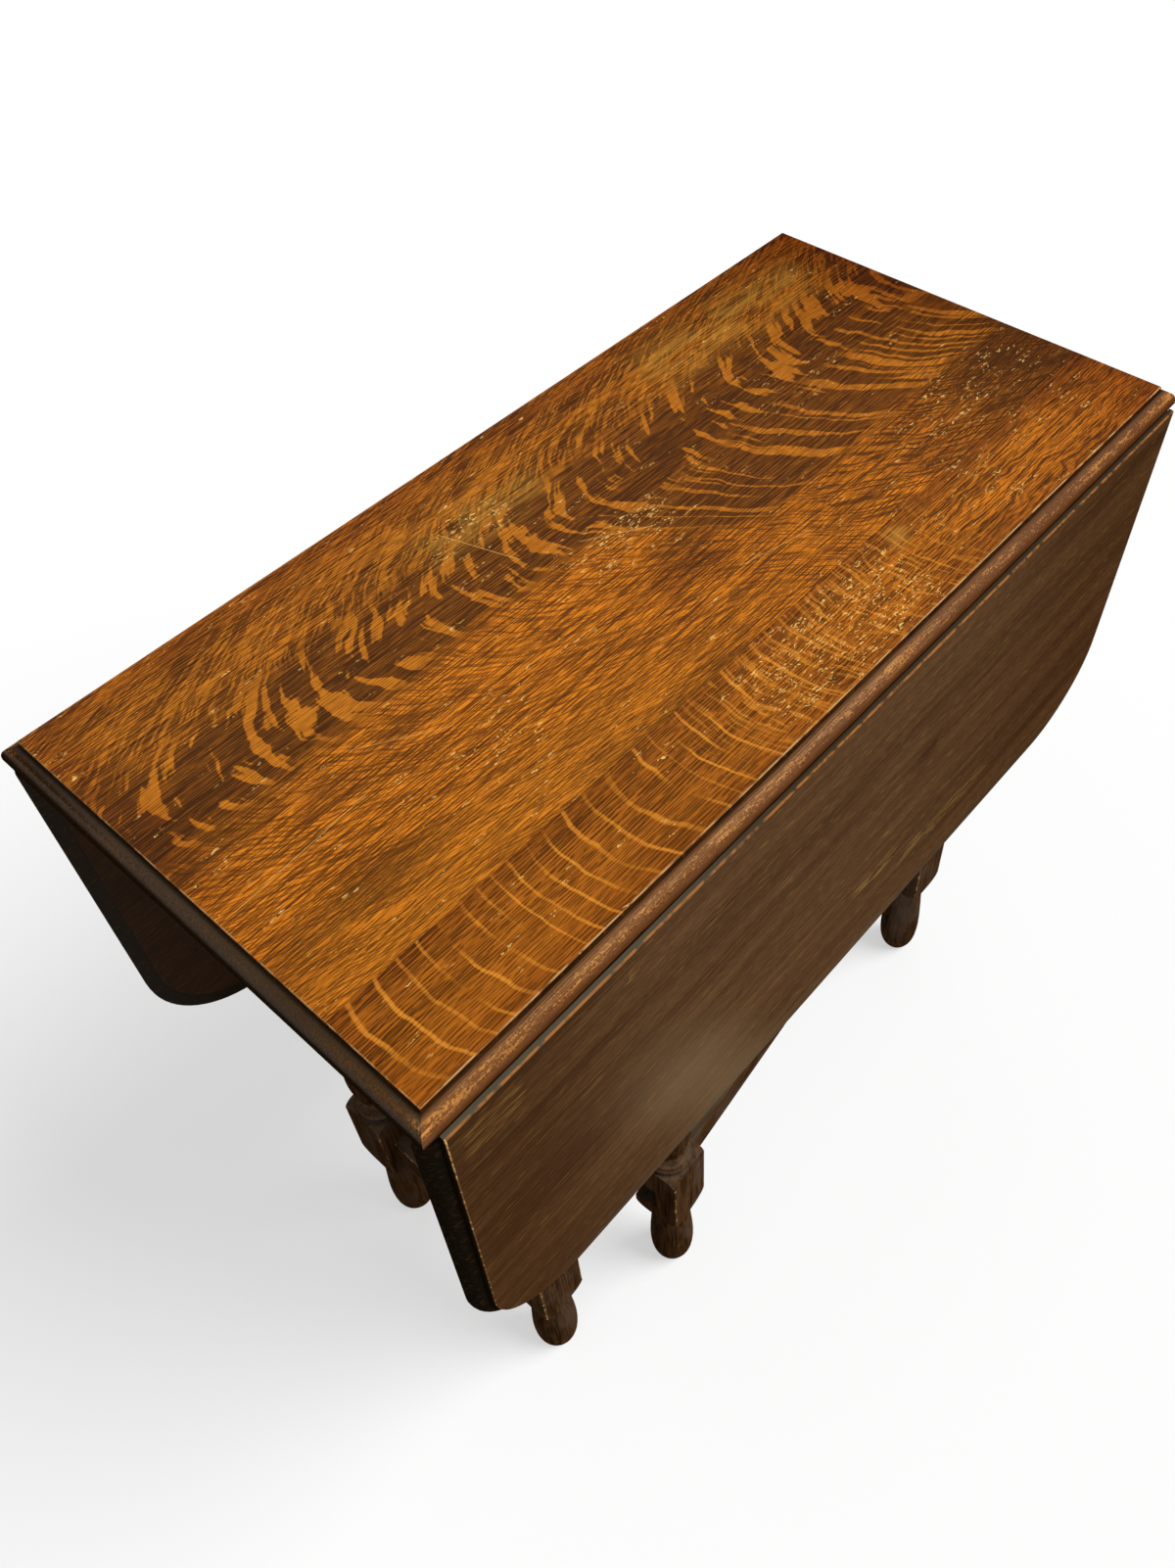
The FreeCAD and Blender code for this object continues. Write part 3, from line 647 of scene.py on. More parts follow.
def wide_board_stains(finish, place, lines, tone, blocks, wobble, distance, colour):
    """Dark polish, darker ends, a painted golden sheen and painted shade at the far end."""
    x, y, z = place
    dark = finish.band(y, *wide_band_limits, wide_band_blur) * finish.rise(tone, 0.35, 0.6)
    colour = finish.stained(dark * 0.5 * (1 - blocks), colour, band_stain)
    colour = finish.stained(finish.patches(x, y, burnt), colour, burn_stain)
    # Painted sheen: a golden haze where light is reflected off the wax at the back.
    clouds = finish.noise(place, in_mm(34, 11, 20), 3.0)
    painted_sheen = finish.patches(x, y, painted_sheen_patches) * finish.rise(clouds, 0.34, 0.58)
    colour = finish.mix(painted_sheen * finish.rise(lines, 0.30, 0.56) * 0.7, colour, painted_sheen_gold)
    ends = finish.rise(distance + wobble * wide_end_wobble, *wide_end_from)
    ends = ends * (0.3 + 0.7 * finish.rise(y, *wide_end_back))
    colour = finish.stained(ends * 0.55, colour, wide_end_stain)
    # Painted shade: the far end is darkened where the light falls off.
    far_painted_shade = finish.rise(x, wide_far_from, field_x) * finish.rise(y, *wide_far_back) * 0.7
    far_painted_shade = far_painted_shade + finish.rise(x, wide_tip_from, field_x) * 0.3
    return finish.stained(far_painted_shade, colour, wide_far_painted_shade)


print("stained and hazy patches:", len(burnt) + len(painted_sheen_patches))


# %% [markdown]
# Last come the rubbed patches, where the scuffs gather, and five scratches. The whole finish of the
# board is then put together in the order in which it came about: wood, stains, scuffs, moulding and
# wax.

# %% Wide board: the whole finish
wide_rubbed = [
    ((-100, -25), (90, 125), 12, 1.0),
    ((-56, 46), (0, 40), 12, 1.0),
    ((-215, -145), (-55, -20), 12, 0.8),
    ((190, 350), (-98, -36), 24, 0.6),
    ((160, 260), (0, 60), 20, 0.5),
]
wide_scratches = [
    ((-361, -20), (-262, -13), 0.6, 0.45),
    ((-250, 20), (-196, -14), 0.5, 0.4),
    ((-86, 118), (-68, 58), 0.6, 0.6),
    ((-30, 40), (14, 12), 0.6, 0.6),
    ((20, -58), (78, -72), 0.6, 0.5),
]


def wide_board_finish():
    finish = Finish("oak_wide_board", top_gloss, shellac)
    x, y, z = place = finish.axes(finish.place)
    wobble = finish.noise(place, in_mm(50, 34, 40), 3.0) - 0.5
    lines = streaks(finish, place)
    tone = finish.noise(place, in_mm(240, 26, 20))
    distance, long_side = field_distance(finish, x, y)
    zones = wide_board_zones(finish, x, y, wobble)
    flakes = wide_board_flakes(finish, place, lines, wobble, zones)
    colour, open_pores = wide_board_wood(finish, place, lines, tone, zones, flakes)
    colour = wide_board_stains(finish, place, lines, tone, flakes[0], wobble, distance, colour)
    marks = scuffs(finish, place, finish.patches(x, y, wide_rubbed))
    marks = marks + finish.scratches(x, y, wide_scratches)
    colour = finish.mix(marks * 0.8, colour, worn_cream)
    colour = moulded_edge(finish, place, distance, long_side, colour)
    return polished(finish, distance, colour, marks, open_pores, lines)


wide_board_oak = wide_board_finish()


# %% [markdown]
# The narrow board comes from another plank. Its rays cross it in thin bright lines that stand
# close together in places and bow gently. Towards the right-hand end the plank's figure runs along
# it instead, and the polish there is rubbed down to orange wood.

# %% Narrow board: its rays
ray_orange = (0.76, 0.275, 0.026)
ray_spacing, ray_width, ray_blur = in_mm(15, 2.2, 0.6)
bow_middle, bow_bend, bow_lean = -148 * mm, 5.0, 0.12
bow_wobble, bow_gather = in_mm(7, 52)
short_limits, short_blur = in_mm(-100, 130), 40 * mm
plain_from = in_mm(-60, 90)


def narrow_board_rays(finish, place, wobble):
    """Thin rays right across the board at its left, and short ones in the middle."""
    x, y, z = place
    off = y - bow_middle
    gather = finish.noise((x, z, z), in_mm(75, 60, 30), 1.0)
    bent = x - off * off * bow_bend + off * bow_lean + wobble * bow_wobble + gather * bow_gather
    strength = finish.noise((bent, y * 0.3, z), in_mm(9, 20, 20), 1.0)
    rays = finish.ruled(bent, ray_spacing, ray_width, ray_blur) * finish.rise(strength, 0.34, 0.60)
    short = finish.noise((bent, y, z), in_mm(3.2, 26, 20))
    short = finish.rise(short, 0.54, 0.62) * finish.band(x, *short_limits, short_blur)
    plain = finish.rise(x, *plain_from)
    return finish.greater(rays * (1 - plain), short * 0.7)


print("rays:", ray_width, "wide,", ray_spacing, "apart")


# %% Narrow board: its ground
narrow_dark = (0.09, 0.024, 0.001)
narrow_brown = (0.44, 0.126, 0.009)
tone_brown = (0.48, 0.140, 0.010)
swirl_dark = (0.11, 0.030, 0.002)
swirl_light = (0.68, 0.200, 0.012)
painted_light_orange = (0.62, 0.185, 0.012)
swirl_sway = 22 * mm
run_from, run_limits, run_blur = in_mm(60, 150), in_mm(-156, -120), 10 * mm
swirl_from, swirl_until = in_mm(120, 200), in_mm(-150, -140)
middle_limits, middle_blur = in_mm(-75, 120), 45 * mm
middle_wobble, middle_until = 10 * mm, in_mm(-128, -116)
painted_light_low_until, painted_light_left_until = in_mm(-160, -135), in_mm(-120, 0)


def narrow_board_wood(finish, place, lines, rays, wobble):
    """Colour of the narrow board, a faint painted light at its near left corner, and its pores."""
    x, y, z = place
    tone = finish.noise(place, in_mm(200, 18, 20), 3.0)
    swirl = finish.noise((x, y - wobble * swirl_sway, z), in_mm(120, 2.6, 10), 2.5)
    ground = finish.mix(finish.rise(lines, 0.40, 0.58), narrow_dark, narrow_brown)
    warm = finish.mix(finish.rise(swirl * 0.7 + lines * 0.3, 0.40, 0.56), swirl_dark, swirl_light)
    colour = finish.mix(finish.rise(tone, 0.42, 0.62) * 0.5, ground, tone_brown)
    orange_run = finish.rise(x, *run_from) * finish.band(y, *run_limits, run_blur)
    swirling = finish.rise(x, *swirl_from) * finish.fall(y, *swirl_until)
    middle = finish.band(x, *middle_limits, middle_blur)
    middle = middle * finish.fall(y + wobble * middle_wobble, *middle_until)
    for zone, strength in ((orange_run, 0.85), (swirling, 0.7), (middle, 0.45)):
        colour = finish.mix(zone * strength, colour, warm)
    colour = finish.mix(rays * 0.92, colour, ray_orange)
    open_pores = pores(finish, place)
    colour = finish.mix(open_pores * (0.85 - 0.5 * rays), colour, pore_brown)
    # Painted light: the near left corner is lifted faintly towards orange, as if lit more.
    painted_light_near_left = finish.fall(y, *painted_light_low_until) * finish.fall(x, *painted_light_left_until)
    return finish.mix(painted_light_near_left * 0.12 * (1 - rays), colour, painted_light_orange), open_pores


print("figure runs along the board from:", run_from)


# %% Narrow board: its wear
glue_stain = (0.52, 0.42, 0.42)
narrow_end_stain = (0.6, 0.46, 0.46)
narrow_far_painted_shade = (0.6, 0.48, 0.4)
knot_brown = (0.55, 0.26, 0.04)
glue_shade, glue_gap = in_mm(20, 0.5)
narrow_end_wobble, narrow_end_from = 14 * mm, in_mm(-22, 0)
narrow_far_from = 240 * mm
knot_x, knot_y = in_mm(109, -120)
knot_wobble_x, knot_wobble_y = in_mm(26, 18)
knot_edge = in_mm(5, 13)
narrow_rubbed = [
    ((-70, 90), (-172, -116), 14, 1.5),
    ((182, 216), (-160, -148), 6, 1.6),
    ((120, 350), (-140, -112), 14, 0.6),
]


def narrow_board_stains(finish, place, lines, wobble, distance, colour):
    """Darker wood by the glue line and ends, painted shade at the far end, and one small knot."""
    x, y, z = place
    by_glue = finish.rise(y, glue_line - glue_shade, glue_line)
    colour = finish.stained(by_glue * 0.5, colour, glue_stain)
    ends = finish.rise(distance + wobble * narrow_end_wobble, *narrow_end_from)
    colour = finish.stained(ends * 0.4, colour, narrow_end_stain)
    # Painted shade: the far end is darkened where the light falls off.
    far_painted_shade = finish.rise(x, narrow_far_from, field_x)
    colour = finish.stained(far_painted_shade * 0.8, colour, narrow_far_painted_shade)
    knot_across = (x - knot_x) + wobble * knot_wobble_x
    knot_down = (y - knot_y) + wobble * knot_wobble_y
    knot = finish.fall(finish.length(knot_across, knot_down), *knot_edge)
    return finish.mix(knot * finish.rise(lines, 0.3, 0.6) * 0.5, colour, knot_brown)


def narrow_board_finish():
    finish = Finish("oak_narrow_board", top_gloss, shellac)
    x, y, z = place = finish.axes(finish.place)
    wobble = finish.noise(place, in_mm(36, 22, 30)) - 0.5
    lines = streaks(finish, place)
    distance, long_side = field_distance(finish, x, y)
    rays = narrow_board_rays(finish, place, wobble)
    colour, open_pores = narrow_board_wood(finish, place, lines, rays, wobble)
    colour = narrow_board_stains(finish, place, lines, wobble, distance, colour)
    marks = scuffs(finish, place, finish.patches(x, y, narrow_rubbed))
    colour = finish.mix(marks * 0.8, colour, worn_cream)
    colour = finish.mix(finish.rise(y, glue_line - glue_gap, glue_line) * 0.8, colour, oak_dark)
    colour = moulded_edge(finish, place, distance, long_side, colour)
    return polished(finish, distance, colour, marks, open_pores, lines)


narrow_board_oak = narrow_board_finish()


# %% [markdown]
# The leaves are plainer boards, stained darker, with a satin polish. Their grain runs straight along
# the table in light and dark streaks. The finish is worked out as if the leaf were raised, because
# then the board and its edge moulding have simple coordinates. The rear leaf is the front one turned
# half round, with grain from another place.

# %% Leaves: their wood
leaf_dark = (0.098, 0.046, 0.020)
leaf_brown = (0.185, 0.092, 0.040)
leaf_gold = (0.25, 0.125, 0.042)
leaf_pore = (0.03, 0.012, 0.004)
rear_grain_shift = 3.0
grain_sway = 14 * mm
pale_line_limits, pale_line_blur = in_mm(214, 216), 0.8 * mm


def leaf_place(finish, half_turn):
    """A place on a leaf as if it were the front one and raised, and the place of its grain."""
    placed = finish.place
    if half_turn:
        placed = finish.turned(placed, "Z", math.pi, (0, 0, 0))
    x, y, z = place = finish.axes(finish.turned(placed, "X", -leaf_drop, leaf_pin))
    return place, (x + (rear_grain_shift if half_turn else 0.0), y, z)


def leaf_wood(finish, grain, reach):
    """Colour of a leaf's board, then its pores, lines, hairlines and how far its grain sways."""
    x, y, z = grain
    sway = finish.noise(grain, in_mm(150, 60, 60), 1.0) * grain_sway
    swayed = (x, y + sway, z)
    broad = finish.noise(swayed, in_mm(420, 22, 12), 3.0)
    lines = finish.noise(swayed, in_mm(110, 1.9, 4), 3.0)
    hairs = finish.noise(swayed, in_mm(45, 0.9, 2))
    colour = finish.mix(finish.rise(broad * 0.5 + lines * 0.5, 0.34, 0.66), leaf_dark, leaf_brown)
    golden = finish.rise(lines * 0.6 + hairs * 0.4, 0.55, 0.66)
    colour = finish.mix(golden * 0.5, colour, leaf_gold)
    open_pores = pores(finish, grain)
    colour = finish.mix(open_pores * 0.55, colour, leaf_pore)
    pale_line = finish.band(reach, *pale_line_limits, pale_line_blur) * finish.rise(broad, 0.4, 0.6)
    return finish.mix(pale_line * 0.5, colour, leaf_gold), open_pores, lines, hairs, sway


print("leaf grain sways by", grain_sway)


# %% [markdown]
# A hanging leaf is knocked and brushed against. On the front leaf a paler slanting sheen is painted,
# a painted reflection of the bright floor, and on the rear leaf the polish is dull in clouds. Rubbed
# places show pale flecks, dust lies towards the outer edge, both ends are darker, and the inner face
# is darkened with painted shade. The tables of patches are like those of the top, with the second
# pair of limits counted outwards from the hinge pins.

# %% Leaves: their wear, painted sheen and painted shade
painted_sheen_and_dull_wax = (0.27, 0.18, 0.095)
spot_brown = (0.045, 0.016, 0.008)
leaf_rub = (0.34, 0.19, 0.055)
leaf_dust = (0.10, 0.082, 0.055)
leaf_end_stain = (0.62, 0.53, 0.42)
inner_face_painted_shade = (0.50, 0.46, 0.43)
sheen_slope, sheen_shift = 0.55, 305 * mm
sheen_limits, sheen_blur, sheen_from = in_mm(-45, 35), 38 * mm, in_mm(70, 240)
dust_from = (leaf_depth - 34 * mm, leaf_depth - 8 * mm)
right_end_from, left_end_until = in_mm(20, 330), in_mm(-350, -180)
inner_face_heights = (underside + 0.2 * mm, underside + 0.6 * mm)
spotted = [((58, 95), (118, 140), 15, 0.6)]
front_leaf_rubbed = [
    ((-362, -322), (8, 42), 7, 1.0),
    ((-242, -228), (16, 28), 4, 1.0),
    ((0, 60), (222, 242), 8, 1.0),
    ((70, 200), (248, 268), 8, 1.0),
]
rear_leaf_rubbed = [
    ((120, 190), (60, 90), 12, 1.0),
    ((-260, -160), (270, 300), 14, 1.0),
]


def dull_wax_and_painted_sheen(finish, grain, x, reach, half_turn):
    """Where the front leaf has a painted sheen, a painted reflection, and the rear one dull clouds."""
    if half_turn:
        return finish.rise(finish.noise(grain, in_mm(150, 50, 50), 3.0), 0.50, 0.80) * 0.6
    sheen = finish.band(x - reach * sheen_slope + sheen_shift, *sheen_limits, sheen_blur)
    return sheen * finish.rise(reach, *sheen_from)


def leaf_wear(finish, place, grain, reach, sway, rubbed, colour):
    """Rubbed flecks, dust, darker ends, painted shade on the inner face, and where the dust is."""
    x, y, z = place
    colour = finish.mix(finish.patches(x, reach, spotted), colour, spot_brown)
    rubs = finish.noise(grain, in_mm(26, 1.8, 4))
    flecks = finish.rise(rubs + 0.15 * finish.patches(x, reach, rubbed), 0.66, 0.72)
    colour = finish.mix(flecks * 0.8, colour, leaf_rub)
    dust = finish.rise(reach, *dust_from)
    colour = finish.mix(dust * 0.35, colour, leaf_dust)
    ends = finish.rise(x - sway, *right_end_from) + finish.fall(x + sway, *left_end_until)
    colour = finish.stained(ends * 0.8, colour, leaf_end_stain)
    # Painted shade: the inner face, which lies under the top when the leaf hangs, is darkened.
    return finish.stained(finish.fall(z, *inner_face_heights), colour, inner_face_painted_shade), dust


print("dust starts", dust_from[0], "from the pins")


# %% Leaves: their edges
leaf_edge = (0.014, 0.010, 0.006)
tip_dark = (0.026, 0.020, 0.012)
tip_dust = (0.095, 0.084, 0.056)
tip_painted_highlight = (0.42, 0.16, 0.04)
chips_until = in_mm(10, 70)
tip_until, dusty_tip_until = in_mm(0.9, 1.4), in_mm(-260, -60)
corner_until, corner_from, corner_heights = in_mm(3, 7), field_x - 1 * mm, below_top(1.5, 0.9)
tip_highlight_until, tip_highlight_heights = in_mm(1.3, 1.9), below_top(1.6, 0.9)


def leaf_distance(finish, x, reach):
    """Distance out from a leaf's flat field, whose outer corners are round."""
    past_x = abs(x) - (half_length - leaf_corner_radius)
    past_y = reach - (leaf_depth - leaf_corner_radius)
    corner = finish.length(finish.greater(past_x, 0), finish.greater(past_y, 0))
    inside = finish.lesser(finish.greater(past_x, past_y), 0)
    return corner + inside - (leaf_corner_radius - edge_round)


def leaf_edges(finish, place, reach, distance, colour):
    """Dark moulding, worn arris, and a painted highlight on the sharp tip of the wood at the hinge."""
    x, y, z = place
    breaks = finish.noise(place, in_mm(5, 5, 5), 3.0)
    grime = finish.noise(place, in_mm(7, 2.5, 2.5), 3.0)
    edge = finish.mix(finish.rise(grime, 0.5, 0.8) * 0.6, leaf_edge, leaf_dark)
    colour = finish.mix(finish.rise(distance, *moulding_start), colour, edge)
    chips = finish.rise(breaks + 0.12 * finish.fall(reach, *chips_until), 0.55, 0.62)
    colour = worn_arris(finish, distance, z, 0.34 + 0.24 * chips, colour, worn_line)
    tip_shade = finish.mix(finish.fall(x, *dusty_tip_until) * 0.8, tip_dark, tip_dust)
    colour = finish.mix(finish.fall(reach, *tip_until) * 0.9, colour, tip_shade)
    chipped = finish.fall(reach, *corner_until) * finish.rise(abs(x), corner_from, field_x)
    colour = finish.mix(chipped * finish.rise(z, *corner_heights), colour, worn_cream)
    # Painted highlight: an orange line along the outer arris of the tip, broken by noise.
    tip_highlight = finish.fall(reach, *tip_highlight_until) * finish.rise(z, *tip_highlight_heights)
    return finish.mix(tip_highlight * finish.rise(breaks, 0.3, 0.6) * 0.8, colour, tip_painted_highlight)


print("corners of a leaf are round by", leaf_corner_radius)


# %% Leaves: the whole finish
leaf_relief = 0.10 * mm
relief_until = in_mm(-1, 1)


def leaf_finish(name, half_turn, rubbed):
    finish = Finish(name, top_gloss, shellac)
    place, grain = leaf_place(finish, half_turn)
    x, y, z = place
    reach = leaf_pin.y - y
    colour, open_pores, lines, hairs, sway = leaf_wood(finish, grain, reach)
    dull_and_sheen = dull_wax_and_painted_sheen(finish, grain, x, reach, half_turn)
    # Painted sheen on the front leaf, a painted reflection; on the rear leaf, dull wax in clouds.
    colour = finish.mix(dull_and_sheen * (0.3 + 0.25 * hairs), colour, painted_sheen_and_dull_wax)
    colour, dust = leaf_wear(finish, place, grain, reach, sway, rubbed, colour)
    distance = leaf_distance(finish, x, reach)
    colour = leaf_edges(finish, place, reach, distance, colour)
    roughness = 0.50 + 0.10 * open_pores + 0.15 * dust + 0.08 * dull_and_sheen
    height = lines * 0.5 + hairs * 0.2 - open_pores * 0.6
    height = height * finish.fall(distance, *relief_until)
    return finish.finished(colour, roughness, height, leaf_relief)


front_leaf_oak = leaf_finish("oak_leaf_front", False, front_leaf_rubbed)
rear_leaf_oak = leaf_finish("oak_leaf_rear", True, rear_leaf_rubbed)


# %% [markdown]
# The frame is dark stained oak with a worn satin polish. Its arrises are rubbed and chipped to paler
# wood, the feet are scuffed, and dust has settled on faces that look up. Grey patches of dull wax
# also stand in for a painted sheen. One function serves every leg, rail and post: only the way its
# grain runs and the place of its arrises differ.

# %% Frame oak
frame_dark = (0.030, 0.0125, 0.0045)
frame_brown = (0.088, 0.041, 0.017)
frame_rubbed = (0.21, 0.105, 0.036)
frame_dull_and_sheen = (0.105, 0.078, 0.056)
frame_dust = (0.10, 0.084, 0.058)
chip_pale = (0.48, 0.34, 0.19)
frame_gloss = 0.14
frame_relief = 0.12 * mm
looking_up = (0.90, 0.98)
scuffed_until = in_mm(4, 45)
upright_grain = in_mm(1.6, 1.6, 40)
lengthwise_grain = in_mm(40, 1.6, 1.6)
crosswise_grain = in_mm(1.6, 40, 1.6)


def frame_finish(finish, placed, grain, arris):
    """Stained oak. The grain is the size of its features, and arris is one where an edge is worn."""
    place = finish.axes(placed)
    broad = finish.noise(place, [length * 4 for length in grain], 3.0)
    lines = finish.noise(place, grain, 3.0)
    rubs = finish.noise(place, in_mm(14, 14, 14), 4.0)
    chips = finish.noise(place, in_mm(4, 4, 7), 3.0)
    dull_and_sheen = finish.rise(finish.noise(place, in_mm(30, 30, 45), 3.0), 0.45, 0.65)
    colour = finish.mix(finish.rise(broad * 0.5 + lines * 0.5, 0.36, 0.62), frame_dark, frame_brown)
    rubbed = finish.rise(rubs * 0.6 + lines * 0.4, 0.57, 0.68)
    colour = finish.mix(rubbed * 0.35, colour, frame_rubbed)
    # Grey patches: dull wax, and a painted sheen laid at random.
    colour = finish.mix(dull_and_sheen * 0.35, colour, frame_dull_and_sheen)
    colour = finish.mix(arris * finish.rise(rubs, 0.40, 0.56) * 0.6, colour, frame_rubbed)
    colour = finish.mix(arris * finish.rise(chips, 0.55, 0.62) * 0.85, colour, chip_pale)
    geometry = finish.nodes.new("ShaderNodeNewGeometry")
    up = finish.axes(finish.output(geometry, "True Normal"))[2]
    dust = finish.rise(up, *looking_up) * finish.rise(broad, 0.25, 0.6)
    colour = finish.mix(dust * 0.5, colour, frame_dust)
    scuffed = finish.fall(place[2], *scuffed_until) * finish.rise(chips, 0.50, 0.60)
    colour = finish.mix(scuffed * 0.45, colour, frame_rubbed)
    roughness = 0.34 + 0.3 * dust + 0.2 * (rubs - 0.5)
    return finish.finished(colour, roughness, lines * 0.6 + chips * 0.15, frame_relief)


print("frame grain:", upright_grain, lengthwise_grain, crosswise_grain)


# %% [markdown]
# A leg's arrises stand at the corners of its square blocks, where the distances from its middle
# along x and y add up to most. All four legs share one finish, because folding the table over its
# middle brings each of them to the same place. A gate leg is first turned back to its closed place.

# %% Legs
leg_arris_out, leg_arris_full = in_mm(2.2, 0.8)


def block_arris(finish, across_x, across_y):
    """One at the upright arrises of a leg's square blocks."""
    out = abs(across_x) + abs(across_y)
    return finish.rise(out, 2 * leg_half - leg_arris_out, 2 * leg_half - leg_arris_full)


def leg_finish(name):
    finish = Finish(name, frame_gloss, shellac)
    x, y, z = finish.axes(finish.place)
    arris = block_arris(finish, abs(x) - leg_place.x, abs(y) - abs(leg_place.y))
    return frame_finish(finish, finish.place, upright_grain, arris)


def gate_leg_finish(name, half_turn, ajar):
    finish = Finish(name, frame_gloss, shellac)
    placed = finish.place
    if half_turn:
        placed = finish.turned(placed, "Z", math.pi, (0, 0, 0))
    placed = finish.turned(placed, "Z", -ajar, gate_pivot)
    x, y, z = finish.axes(placed)
    arris = block_arris(finish, x - gate_leg_place.x, y - gate_leg_place.y)
    return frame_finish(finish, placed, upright_grain, arris)


leg_oak = leg_finish("oak_frame_legs")
front_gate_leg_oak = gate_leg_finish("oak_gate_leg_front", False, gate_ajar)
rear_gate_leg_oak = gate_leg_finish("oak_gate_leg_rear", True, 0.0)


# %% [markdown]
# Aprons and stretchers are straight bars, square to the table, so the box of the CAD piece says
# where the long arrises run. The gates' rails and posts swing with their gates, and their arrises
# are mostly hidden, so they go without that wear.

# %% Rails and posts
bar_arris_out, bar_arris_full = in_mm(2.2, 0.6)


def bar_arris(finish, low, high, along):
    """One at the long arrises of a straight bar between two corners of a box."""
    place = finish.axes(finish.place)
    distances = []
    for axis in range(3):
        if axis != along:
            middle = (low[axis] + high[axis]) / 2
            distances.append(abs(place[axis] - middle) - (high[axis] - low[axis]) / 2)
    return finish.rise(distances[0] + distances[1], -bar_arris_out, -bar_arris_full)


def bar_finish(name, node, along):
    """Finish of a rail that lies square to the table, with worn arrises."""
    finish = Finish(name, frame_gloss, shellac)
    low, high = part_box(node)
    grain = (lengthwise_grain, crosswise_grain)[along]
    return frame_finish(finish, finish.place, grain, bar_arris(finish, low, high, along))


def gate_bar_finish(name, grain):
    finish = Finish(name, frame_gloss, shellac)
    return frame_finish(finish, finish.place, grain, 0.0)


bar_oaks = {}
for node in sorted(frame["nodes"]):
    name = "oak_" + node
    if node.startswith(("apron_", "stretcher_")):
        bar_oaks[node] = bar_finish(name, node, 1 if node.endswith(("left", "right")) else 0)
    elif node.startswith("gate_post"):
        bar_oaks[node] = gate_bar_finish(name, upright_grain)
    elif node.startswith(("gate_rail", "gate_stretcher")):
        bar_oaks[node] = gate_bar_finish(name, lengthwise_grain)
print("bars:", len(bar_oaks))


# %% [markdown]
# Out of sight, the stop blocks and buttons were left plain, and the pivot pins are bare hardwood,
# polished by turning in their holes.

# %% Plain oak and pin wood
plain_dark, plain_light = (0.16, 0.092, 0.045), (0.30, 0.19, 0.10)
pin_dark, pin_light = (0.22, 0.14, 0.075), (0.38, 0.26, 0.15)
grime_stain = (0.5, 0.45, 0.4)
plain_grain, pin_grain = in_mm(3, 40, 3), in_mm(2, 2, 30)
plain_gloss = 0.3
plain_relief = 0.15 * mm


def plain_wood(name, dark, light, grain, roughness):
    finish = Finish(name, plain_gloss)
    place = finish.axes(finish.place)
    lines = finish.noise(place, grain, 3.0)
    grime = finish.noise(place, in_mm(18, 18, 18), 3.0)
    colour = finish.mix(finish.rise(lines, 0.36, 0.64), dark, light)
    colour = finish.stained(finish.rise(grime, 0.45, 0.7) * 0.5, colour, grime_stain)
    return finish.finished(colour, roughness + 0.15 * grime, lines, plain_relief)


plain_oak = plain_wood("oak_plain", plain_dark, plain_light, plain_grain, 0.6)
pin_wood = plain_wood("pin_hardwood", pin_dark, pin_light, pin_grain, 0.4)


# %% [markdown]
# The hinges are iron with an old brown skin that is rubbed brighter in spots, and the screws are
# dull steel. Both are speckled with rust.

# %% Iron and steel
iron_skin, iron_bare = (0.045, 0.036, 0.030), (0.17, 0.15, 0.13)
steel_skin, steel_bare = (0.12, 0.105, 0.09), (0.34, 0.32, 0.29)
rust_brown = (0.12, 0.05, 0.022)
metal_share = 0.85
metal_gloss = 0.5
metal_relief = 0.06 * mm


def old_metal(name, skin, bare, roughness):
    finish = Finish(name, metal_gloss)
    finish.shader.inputs["Metallic"].default_value = metal_share
    place = finish.axes(finish.place)
    cast = finish.noise(place, in_mm(1.5, 1.5, 1.5), 3.0)
    spots = finish.noise(place, in_mm(7, 7, 7), 4.0)
    colour = finish.mix(finish.rise(spots, 0.42, 0.62), skin, bare)
    colour = finish.mix(finish.rise(cast, 0.60, 0.72) * 0.6, colour, rust_brown)
    return finish.finished(colour, roughness + 0.25 * (spots - 0.5), cast, metal_relief)


hinge_iron = old_metal("hinge_iron", iron_skin, iron_bare, 0.52)
screw_steel = old_metal("screw_steel", steel_skin, steel_bare, 0.42)


# %% [markdown]
# Sharp CAD edges look like no real table. On the pieces that show, a merged copy of the CAD piece
# stands in for it: its worn arrises are rounded by a fraction of a millimetre, so that they catch
# the light, and its flat faces stay flat because the normals are weighted by area.

# %% Rounded arrises
merge_reach = 0.01 * mm
flat_turn = math.radians(0.4)
arris_turn = math.radians(50)
round_segments = 2
bodies = frame["record"]["behaviour"]["bodies"]
body_of_node = {node: body for body, nodes in bodies.items() for node in nodes}


